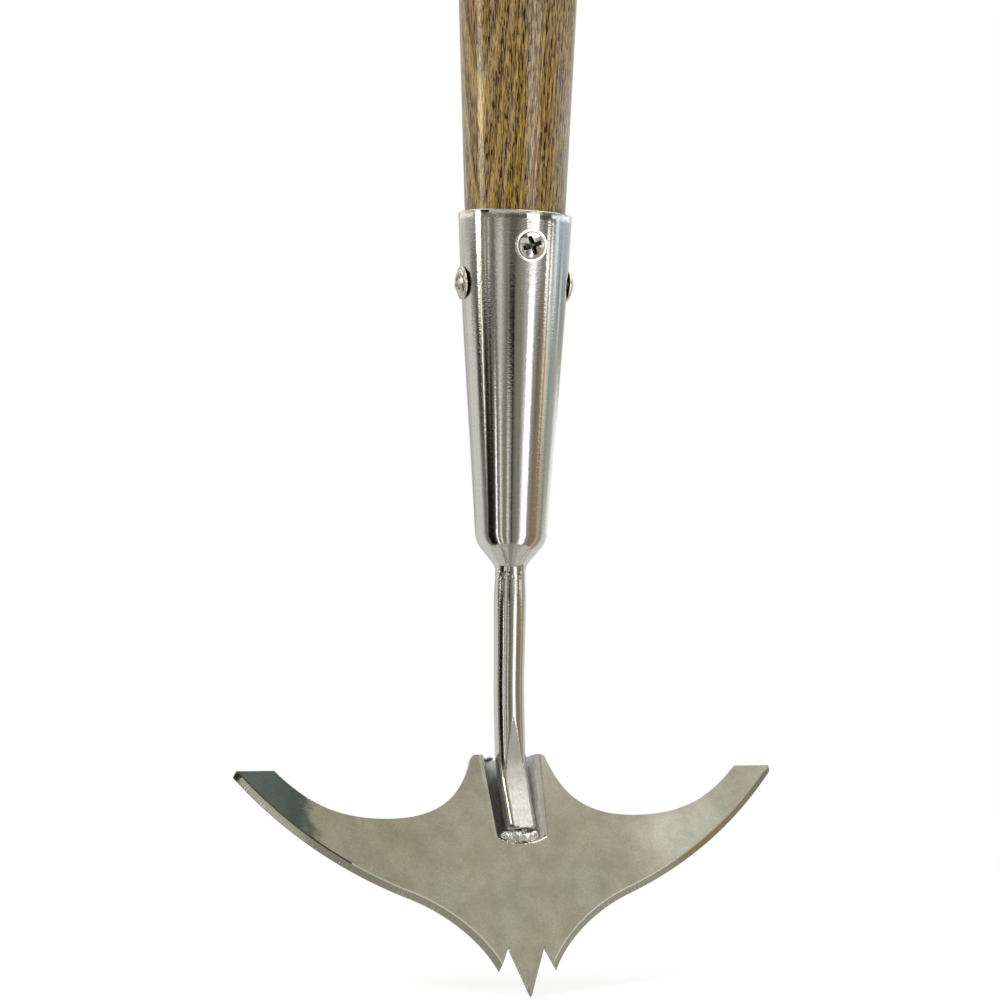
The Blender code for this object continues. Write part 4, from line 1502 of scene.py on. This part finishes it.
@dataclass
class Screws:
    """Four domed cross-recess screws: a front and back pair, and lower a left and right pair."""

    socket: Socket
    head_radius: float = 4.8 * MM
    head_height: float = 2.2 * MM
    rim: float = 0.5 * MM
    flange_width: float = 1.05 * MM
    flange_rise: float = 0.15 * MM
    dome_step: float = 0.3 * MM
    seam: float = 0.22 * MM            # width of the seam between dome and flange, painted dark as painted shade
    shank_radius: float = 2.1 * MM
    length: float = 13 * MM
    point: float = 4 * MM
    lift: float = 0.05 * MM
    upper_drop: float = 10.1 * MM
    lower_drop: float = 20.2 * MM
    recess_length: float = 7.1 * MM    # level with the head's top, as the width
    recess_width: float = 1.5 * MM
    recess_depth: float = 1.7 * MM
    recess_draft: float = 0.45
    edge_round: float = 0.18 * MM
    hub: float = 0.05 * MM             # radius of the small flat at each end of the blank
    segments: int = 96

    def profile(self) -> list[Point]:
        """Dome, flange, shank and point.

        Returns:
            Radii and heights; z = 0 is the head's seat.
        """
        dome_radius, flange_top = self.head_radius - self.flange_width, self.rim + self.flange_rise
        rise = self.head_height - flange_top - self.dome_step
        radius = (dome_radius**2 + rise**2) / (2 * rise)
        sweep = math.asin(dome_radius / radius)
        dome = arc((0.0, self.head_height - radius), radius, math.pi / 2 - self.hub / radius,
                   math.pi / 2 - sweep, steps=16)
        flange_slope = math.atan2(self.flange_width, self.flange_rise)
        corner = (self.head_radius - self.edge_round, self.rim)
        flange = arc(corner, self.edge_round, flange_slope, 0.0, steps=4)
        shank = self.shank_radius
        return dome + [
            (dome_radius + self.seam, flange_top), *flange, (self.head_radius, 0.0), (shank, 0.0),
            (shank, self.point - self.length), (self.hub, -self.length)]

    def recess_bar(self, turn: float, recess_shade: Material) -> Object:
        """One bar of the cross, narrowing towards its floor.

        Args:
            turn: Its angle about the screw's axis.
            recess_shade: Its material, painted shade.

        Returns:
            The bar, which cuts the head.
        """
        bm = bmesh.new()
        place = Matrix.Rotation(turn, 4, "Z") @ Matrix.Translation((0.0, 0.0, self.head_height))
        size = Matrix.Diagonal((self.recess_length, self.recess_width, 2 * self.recess_depth, 1.0))
        bmesh.ops.create_cube(bm, size=1.0, matrix=place @ size)
        for vertex in bm.verts:
            share = self.recess_draft if vertex.co.z < self.head_height else 2 - self.recess_draft
            vertex.co.x *= share
            vertex.co.y *= share
        mesh = from_bmesh("recess_bar", bm)
        mesh.materials.append(recess_shade)
        return new_object("recess_bar", mesh)

    def mesh(self, steel: Material, recess_shade: Material) -> Mesh:
        """One screw with its punched cross.

        Args:
            steel: Its material.
            recess_shade: The material of the recess and the seam, painted shade.

        Returns:
            The mesh, on the screw's own axis.
        """
        turned = shaded(lathe("screw_blank", self.profile(), self.segments), steel, recess_shade)
        dome_radius = self.head_radius - self.flange_width
        # The seam between dome and flange takes the recess's painted shade
        for polygon in turned.polygons:
            reach = polygon.center.xy.length
            in_seam = polygon.center.z > self.rim and dome_radius < reach < dome_radius + self.seam
            polygon.material_index = int(in_seam)
        blank = new_object("screw_blank", turned)
        bars = [self.recess_bar(turn, recess_shade) for turn in (0.0, math.pi / 2)]
        for bar in bars:
            cut = blank.modifiers.new("recess", "BOOLEAN")
            cut.object = bar
            cut.operation = "DIFFERENCE"
            cut.solver = "EXACT"
            cut.material_mode = "TRANSFER"
        mesh = evaluated(blank, "screw")
        for bar in bars:
            bpy.data.objects.remove(bar)
        return shaded(mesh)

    def place(self, turn: float, drop: float, driven: float) -> Matrix:
        """Where a screw sits, square to the socket's skin.

        Args:
            turn: Its angle about the handle, in degrees.
            drop: Its distance below the socket's mouth.
            driven: The angle at which its cross stopped, in degrees.

        Returns:
            The matrix from the screw's own axis to the row frame.
        """
        z = self.socket.mouth_z - drop
        seat_place = Matrix.Translation((self.socket.skin_radius(z), 0.0, z))
        outward = Matrix.Rotation(math.pi / 2 + self.socket.cone_angle, 4, "Y")
        lifted = Matrix.Translation((0.0, 0.0, self.lift))
        about, crossed = (Matrix.Rotation(math.radians(angle), 4, "Z") for angle in (turn, driven))
        return about @ seat_place @ outward @ lifted @ crossed

    def build(self, steel: Material, recess_shade: Material, dull_shaded_steel: Material) -> list[Object]:
        """Make the four screws.

        Args:
            steel: Their material.
            recess_shade: The material of the recess and the seam, painted shade.
            dull_shaded_steel: The material of the lower pair, rougher and tinted darker beige: a painted
                shade.

        Returns:
            The seated pieces.
        """
        master = self.mesh(steel, recess_shade)
        made = []
        for node, turn, drop, driven in (
                ("screw_front", -90, self.upper_drop, 20), ("screw_back", 90, self.upper_drop, 28),
                ("screw_left", 180, self.lower_drop, 50), ("screw_right", 0, self.lower_drop, 8)):
            mesh = master.copy()
            # The lower pair takes the rougher steel with its painted shade, in the recess and seam too
            if drop == self.lower_drop:
                mesh.materials[0] = mesh.materials[1] = dull_shaded_steel
            mesh.transform(self.place(turn, drop, driven))
            made.append(seat(new_object(f"{node}_head", mesh), node))
        return made


# The studio
class Card(Enum):
    """The studio's cards: a shade, and how bright it is lit."""

    SOOT = ("#161710", 1.0)
    SLATE = ("#34362F", 1.0)
    MOSS = ("#55574D", 1.0)
    SAGE = ("#7A7A70", 1.0)
    OLIVE = ("#929180", 1.0)
    PUTTY = ("#A3A298", 1.0)
    STONE = ("#BDBCB4", 1.0)
    LINEN = ("#D8D8D1", 1.0)
    PAPER = ("#EBECE6", 1.0)
    WHITE = ("#FFFFFF", 1.1)
    STRIP = ("#FFFFFF", 1.9)
    WARM_STRIP = ("#FFFFF0", 2.0)
    SOFTBOX = ("#FFFFFF", 2.0)
    RUST = ("#7E7466", 1.0)
    TAN = ("#9C8970", 1.0)
    SAND = ("#C4B292", 1.0)
    CREAM = ("#FAF0D8", 1.0)
    CELADON = ("#D6E0CE", 1.0)
    STEEL = ("#A2ADA9", 1.0)
    SKY = ("#E6F8FF", 1.2)
    HAZE = ("#C0D0DA", 1.0)
    TEAL = ("#5E716D", 1.0)
    LAGOON = ("#74807C", 1.0)
    BONE = ("#C5C0AF", 1.0)
    SHELL = ("#CDCABA", 1.0)
    DRAB = ("#B4B09F", 1.0)
    PEARL = ("#DADBCD", 1.0)
    GLEAM = ("#FFFFFA", 1.35)
    WARM_LAMP = ("#FFF4D2", 13.0)
    TAN_LAMP = ("#F0E4DC", 1.5)
    SHEEN_LAMP = ("#F8ECE8", 4.8)
    BLUE_LAMP = ("#D8E0EC", 2.0)


@dataclass(frozen=True)
class Band:
    """A card, from an angle to the right of the camera, and how softly it runs in, in degrees."""

    angle: float
    card: Card
    soft: float = 2.0


@dataclass(frozen=True)
class Level:
    """The cards at one distance from the handle's axis and one height."""

    radius: float
    height: float
    bands: Sequence[Band]

    def marks(self) -> list[float]:
        """The angles between which each card holds its shade.

        Returns:
            Two angles for each card, in order.
        """
        starts = [band.angle + band.soft / 2 for band in self.bands]
        ends = [band.angle - band.soft / 2 for band in self.bands[1:]] + [180.0]
        return [angle for pair in zip(starts, ends) for angle in pair]

    def shades(self, angles: np.ndarray) -> np.ndarray:
        """The light at each of these angles, one row each."""
        colours = np.array([linear(*band.card.value) for band in self.bands for _ in range(2)])
        return np.column_stack([np.interp(angles, self.marks(), channel) for channel in colours.T])


@dataclass
class CardWall:
    """Cards round the tool that only reflections see: the bright strips and flags of the studio.

    Between two levels the cards blend into each other.
    """

    levels: Sequence[Level]
    facing: float
    step: float = 2.0                  # degrees of one flat side

    def material(self) -> Material:
        """A light of the shade that the mesh carries.

        Returns:
            The material.
        """
        made = bpy.data.materials.new("studio_cards")
        tree = emptied(made)
        shade = add_node(tree, "Attribute", attribute_name=CARD_SHADE)
        light = add_node(tree, "Emission", (shade, 1.0))
        add_node(tree, "OutputMaterial", {"Surface": light})
        made.cycles.emission_sampling = "NONE"
        return made

    def build(self) -> Object:
        """Make the wall, seen by reflections alone.

        Returns:
            The wall.
        """
        sides = np.arange(-180.0, 180.0 + self.step, self.step)
        marks = [mark for level in self.levels for mark in level.marks()]
        angles = np.unique(np.clip(np.concatenate([sides, marks]), -180.0, 180.0))
        turns = np.radians(angles)
        count = len(angles)
        rings = [
            np.column_stack((level.radius * np.sin(turns), -level.radius * np.cos(turns),
                             np.full(count, level.height)))
            for level in self.levels]
        faces = [
            (row + k, row + k + 1, row + count + k + 1, row + count + k)
            for row in range(0, count * (len(rings) - 1), count) for k in range(count - 1)]
        mesh = bpy.data.meshes.new("card_wall")
        mesh.from_pydata(np.concatenate(rings).tolist(), [], faces)
        shades = np.concatenate([level.shades(angles) for level in self.levels])
        mesh.attributes.new(CARD_SHADE, "FLOAT_COLOR", "POINT").data.foreach_set("color", shades.ravel())
        mesh.materials.append(self.material())
        wall = new_object("card_wall", mesh)
        wall.rotation_euler = (0.0, 0.0, self.facing)
        for ray in ("camera", "diffuse", "transmission", "volume_scatter", "shadow"):
            setattr(wall, f"visible_{ray}", False)
        return wall


@dataclass
class Camera:
    """The photograph's view: low, near and a little from the left."""

    azimuth: float = math.radians(-16.6)
    elevation: float = math.radians(-0.2)
    distance: float = 0.9
    target_z: float = 140.4 * MM
    aside: float = -3.28 * MM
    roll: float = math.radians(0.75)
    lens: float = 111.7
    sensor: float = 36.0
    nearest: float = 10 * MM

    def build(self) -> Object:
        """Make the camera and hand it to the scene.

        Returns:
            The camera.
        """
        data = bpy.data.cameras.new("photo_camera")
        data.lens = self.lens
        data.sensor_width = self.sensor
        data.clip_start = self.nearest
        camera = new_object("photo_camera", data)
        a, e = self.azimuth, self.elevation
        back = Vector((math.sin(a) * math.cos(e), -math.cos(a) * math.cos(e), math.sin(e)))
        right = Vector((math.cos(a), math.sin(a), 0.0))
        target = Vector((0.0, 0.0, self.target_z)) + right * self.aside
        rolled = Matrix.Rotation(self.roll, 4, "Z")
        camera.matrix_world = aimed(target + back * self.distance, -back) @ rolled
        bpy.context.scene.camera = camera
        return camera


@dataclass(frozen=True)
class Lamp:
    """A soft square lamp that reflections don't see."""

    name: str
    angle: float                       # degrees to the right of the camera
    height: float
    distance: float                    # from the handle
    energy: float                      # in watts
    size: float = 1.0
    aim_height: float = 0.25

    def hang(self, facing: float) -> None:
        """Hang the lamp.

        Args:
            facing: The camera's angle about the handle, in radians.
        """
        data = bpy.data.lights.new(self.name, "AREA")
        data.energy = self.energy
        data.size = self.size
        lamp = new_object(self.name, data)
        a = facing + math.radians(self.angle)
        place = Vector((self.distance * math.sin(a), -self.distance * math.cos(a), self.height))
        lamp.matrix_world = aimed(place, Vector((0.0, 0.0, self.aim_height)) - place)
        lamp.visible_glossy = False


@dataclass
class Studio:
    """White sweep, two soft lamps and the wall of cards."""

    facing: float
    ambient: float = 0.72
    floor_glow: float = 0.4            # lifts the lit floor to white, for the camera alone
    floor_grey: float = 0.8
    floor_radius: float = 60.0
    floor_drop: float = 0.2 * MM
    shadow_radius: float = 0.16
    fade_radius: float = 0.42
    wall: float = 0.85

    def world(self) -> None:
        """White where it is seen or mirrored, and a softer light on the surfaces."""
        world = bpy.data.worlds.new("white_sweep")
        bpy.context.scene.world = world
        tree = emptied(world)
        rays = add_node(tree, "LightPath").outputs
        seen = rays["Is Camera Ray"]
        for ray in ("Is Glossy Ray", "Is Transmission Ray"):
            seen = add_node(tree, "Math", (seen, rays[ray]), operation="MAXIMUM").outputs[0]
        light = add_node(tree, "Background", ("#FFFFFF", self.ambient))
        white = add_node(tree, "Background", ("#FFFFFF", 1.0))
        both = add_node(tree, "MixShader", (seen, light, white))
        add_node(tree, "OutputWorld", {"Surface": both})

    def floor_material(self) -> Material:
        """White paint that runs out into plain white light.

        Returns:
            The material.
        """
        made = bpy.data.materials.new("white_floor")
        tree = emptied(made)
        place = add_node(tree, "TexCoord").outputs["Object"]
        reach = add_node(tree, "VectorMath", [place], operation="LENGTH").outputs["Value"]
        fade = add_node(tree, "MapRange", (reach, self.shadow_radius, self.fade_radius),
                        interpolation_type="SMOOTHSTEP")
        camera_ray = add_node(tree, "LightPath").outputs["Is Camera Ray"]
        seen = add_node(tree, "Math", (camera_ray, self.floor_glow), operation="MULTIPLY")
        diffuse = add_node(tree, "BsdfDiffuse", [linear(self.floor_grey)])
        glow = add_node(tree, "Emission", ("#FFFFFF", seen))
        lit = add_node(tree, "AddShader", (diffuse, glow))
        white = add_node(tree, "Emission", ("#FFFFFF", 1.0))
        both = add_node(tree, "MixShader", (fade, lit, white))
        add_node(tree, "OutputMaterial", {"Surface": both})
        made.cycles.emission_sampling = "NONE"
        return made

    def floor(self) -> Object:
        """A white floor that keeps the shadow under the tool and runs out into white.

        Returns:
            The floor.
        """
        bm = bmesh.new()
        bmesh.ops.create_circle(bm, cap_ends=True, segments=96, radius=self.floor_radius)
        mesh = from_bmesh("floor", bm)
        mesh.materials.append(self.floor_material())
        floor = new_object("floor", mesh)
        floor.location.z = -self.floor_drop
        return floor

    def levels(self) -> list[Level]:
        """The cards, from the floor up.

        Returns:
            The levels, each with its bands from the tool's back round by the left to its back again.
        """
        c = Card
        under = [
            Band(-180, c.WHITE), Band(-100, c.LINEN), Band(-20, c.PUTTY), Band(20, c.STONE),
            Band(60, c.LINEN), Band(110, c.WHITE)]
        ground = [
            Band(-180, c.PAPER), Band(-120, c.LINEN), Band(-60, c.STONE), Band(-12, c.PUTTY),
            Band(15, c.STONE), Band(60, c.LINEN)]
        low = [
            Band(-180, c.WHITE), Band(-162, c.LINEN), Band(-145, c.PAPER), Band(-98, c.LINEN),
            Band(-92, c.PUTTY), Band(-86, c.SAGE), Band(-77, c.MOSS), Band(-74.5, c.SOOT),
            Band(-57, c.SLATE), Band(-51, c.SAGE, 1), Band(-46.5, c.STRIP, 1), Band(-42.5, c.OLIVE, 1),
            Band(-34, c.WHITE, 1), Band(-30, c.LINEN), Band(-27, c.OLIVE), Band(-14, c.PAPER),
            Band(-7, c.PUTTY), Band(-2, c.MOSS), Band(3, c.SAGE), Band(8, c.OLIVE), Band(19, c.PUTTY),
            Band(22, c.STONE), Band(26, c.WHITE), Band(30.5, c.STRIP), Band(46.5, c.PAPER),
            Band(49.5, c.PUTTY), Band(58, c.TAN, 4), Band(86, c.SAND, 4), Band(96, c.STONE),
            Band(101, c.PUTTY), Band(110, c.STONE), Band(115, c.LINEN), Band(120, c.PAPER),
            Band(156, c.WHITE)]
        middle = [
            Band(-180, c.WHITE), Band(-162, c.LINEN), Band(-154, c.STONE), Band(-144, c.LINEN),
            Band(-130, c.PAPER), Band(-99, c.LINEN, 1), Band(-97, c.PUTTY, 1), Band(-94, c.MOSS, 1),
            Band(-90, c.SLATE), Band(-82, c.SAGE, 1), Band(-77.8, c.WARM_STRIP, 1), Band(-75, c.OLIVE, 1),
            Band(-71.5, c.SLATE, 1), Band(-62, c.SAGE, 1), Band(-58, c.SLATE, 1), Band(-53, c.SAGE, 1),
            Band(-42, c.SAGE), Band(-38, c.STONE), Band(-34, c.LINEN), Band(-26, c.STONE),
            Band(-22, c.PUTTY), Band(-18, c.SAGE), Band(-10, c.SLATE), Band(-6.5, c.SOOT),
            Band(1.5, c.SAGE, 1), Band(5, c.OLIVE), Band(19, c.PUTTY), Band(23, c.STONE),
            Band(30.5, c.PAPER, 1), Band(32, c.STRIP, 1), Band(45, c.PAPER, 1), Band(48, c.PUTTY, 1),
            Band(56, c.RUST), Band(64, c.TAN), Band(72, c.SAND, 1), Band(74.5, c.CREAM, 1),
            Band(77.5, c.SAND, 1), Band(82.5, c.CREAM, 1), Band(88.5, c.CELADON, 1), Band(94.5, c.STEEL, 1),
            Band(106, c.STONE), Band(126, c.LINEN), Band(131, c.PAPER), Band(136, c.WHITE)]
        top = [
            Band(-180, c.PAPER), Band(-162, c.STONE), Band(-148, c.LINEN), Band(-130, c.PAPER),
            Band(-109, c.STONE), Band(-106, c.PUTTY), Band(-102, c.SAGE), Band(-84.5, c.STRIP, 1),
            Band(-79.5, c.STONE, 1), Band(-75, c.PUTTY), Band(-66, c.LINEN, 1), Band(-62, c.OLIVE, 1),
            Band(-58, c.PAPER, 1), Band(-54, c.PUTTY, 1), Band(-50, c.SAGE), Band(-42, c.STONE),
            Band(-38, c.LINEN), Band(-33, c.PAPER), Band(-26, c.STONE), Band(-22, c.PUTTY),
            Band(-10, c.RUST), Band(6, c.OLIVE), Band(11, c.PUTTY), Band(15, c.STONE), Band(34, c.PAPER),
            Band(38, c.WHITE), Band(49, c.PAPER), Band(53, c.LINEN), Band(58, c.STONE), Band(62, c.PUTTY),
            Band(70, c.STRIP, 1), Band(77.5, c.LINEN, 1), Band(82, c.STRIP, 1), Band(86, c.PAPER),
            Band(90, c.LINEN), Band(94, c.SKY, 1), Band(102, c.HAZE, 1), Band(108, c.STEEL, 1),
            Band(117, c.PAPER, 1), Band(123, c.HAZE), Band(126, c.STEEL), Band(144, c.STONE),
            Band(156, c.LINEN)]
        sheen = [Band(-20, c.MOSS), Band(25, c.SHEEN_LAMP, 4), Band(50, c.MOSS, 4)]
        lower_handle = [
            Band(-180, c.LINEN), Band(-120, c.STONE), Band(-86, c.WARM_LAMP, 1), Band(-75, c.OLIVE),
            *sheen, Band(92, c.SKY), Band(102, c.HAZE), Band(144, c.LINEN)]
        handle = [
            Band(-180, c.LINEN), Band(-150, c.TAN_LAMP), Band(-94, c.STONE), Band(-87, c.WARM_LAMP, 1),
            Band(-74, c.OLIVE), *sheen, Band(80, c.BLUE_LAMP, 6), Band(146, c.PAPER)]
        left = [
            Band(-180, c.PAPER), Band(-120, c.STONE), Band(-92, c.PAPER), Band(-76, c.SOOT),
            Band(-54, c.LINEN), Band(24.5, c.LAGOON)]
        teal_edge = [Band(28, c.TEAL), Band(29.2, c.BONE, 0.3), Band(34, c.SHELL)]
        right = [
            Band(58, c.TAN), Band(94, c.STONE), Band(110, c.WHITE), Band(118, c.PUTTY),
            Band(140, c.PAPER)]
        high = [*left, *teal_edge, Band(44.5, c.PEARL, 3), *right]
        patch = [
            *left, *teal_edge, Band(42.5, c.GLEAM, 1), Band(43.9, c.PEARL, 0.4),
            Band(44.2, c.GLEAM, 0.4), Band(45.2, c.PEARL, 0.6), *right]
        crown = [
            *left, Band(28.2, c.TEAL, 1), Band(29.2, c.BONE, 0.3), Band(34.5, c.DRAB),
            Band(37.8, c.PAPER), Band(43, c.PEARL), *right]
        soft = [
            Band(-180, c.SOFTBOX), Band(-70, c.SLATE, 4), Band(-24, c.MOSS, 8), Band(8, c.SOFTBOX, 8)]
        on_floor = ((0.02, under), (0.05, under), (0.08, ground), (0.118, ground), (0.122, low))
        on_wall = (
            (0.0, 0.075, low), (0.095, 0.168, middle), (0.178, 0.228, top),
            (0.242, 0.275, lower_handle), (0.3, 0.35, handle), (0.362, 0.605, high),
            (0.614, 0.632, patch), (0.645, 0.69, high), (0.705, 0.79, crown), (0.86, 2.2, soft))
        return [Level(radius, 0.0, bands) for radius, bands in on_floor] + [
            Level(self.wall, height, bands) for *ends, bands in on_wall for height in ends]

    def build(self) -> None:
        """Set up the whole studio."""
        self.world()
        self.floor()
        for lamp in (Lamp("key_lamp", -50, 1.1, 1.5, 7), Lamp("fill_lamp", 60, 0.8, 1.6, 4)):
            lamp.hang(self.facing)
        CardWall(self.levels(), self.facing).build()


def main() -> None:
    """Build the tool piece by piece, then the camera and the studio."""
    logging.basicConfig(level=logging.INFO, format="%(message)s")
    plate = Plate()
    groove = Groove(plate)
    socket = Socket()
    cross_ground = CrossGroundStainless().material()
    bead = StainlessWeldBead().material()
    # The neck's dressed flat, with a painted shade higher up
    dressed = DressedStainless().material()
    # The groove's dressed steel: a painted pale bluish reflection higher up, blotches of painted shade on
    # its left
    pressed = DressedStainless(
        name="dressed_groove", bright="#F4F4F1", dull="#DADAD4", painted_upper_tint="#E4EAEE", painted_shade=0.9,
        roughness=0.45).material()
    # Rougher screw steel tinted darker beige, a painted shade, for the lower pair
    dull_shaded_steel = PolishedStainless(
        name="dull_shaded_stainless", bright="#CFC9BF", dull="#BBB5AA", roughness=0.26).material()
    pieces = [
        Handle(socket).build(LacqueredAsh().material()),
        socket.build(cross_ground),
        CollarWeld(socket).build(cross_ground),
        Neck(plate, groove, socket).build(cross_ground, dressed),
        Blade(plate, groove).build(SatinStainlessSheet().material(), GroundBevel().material(), pressed),
        Weld("end_bead", "end_weld", plate, groove.end_height, END_DROPS).build(bead),
        Weld("tack_bead", "tack_weld", plate, groove.top, TACK_DROPS).build(bead),
        *Screws(socket).build(PolishedStainless().material(), ShadedRecess().material(), dull_shaded_steel),
    ]
    for piece in pieces:
        log.info("%s: %d faces", piece.name, len(piece.data.polygons))
    camera = Camera()
    camera.build()
    Studio(camera.azimuth).build()
    bpy.context.scene.view_settings.view_transform = "Standard"


if __name__ == "__main__":
    main()
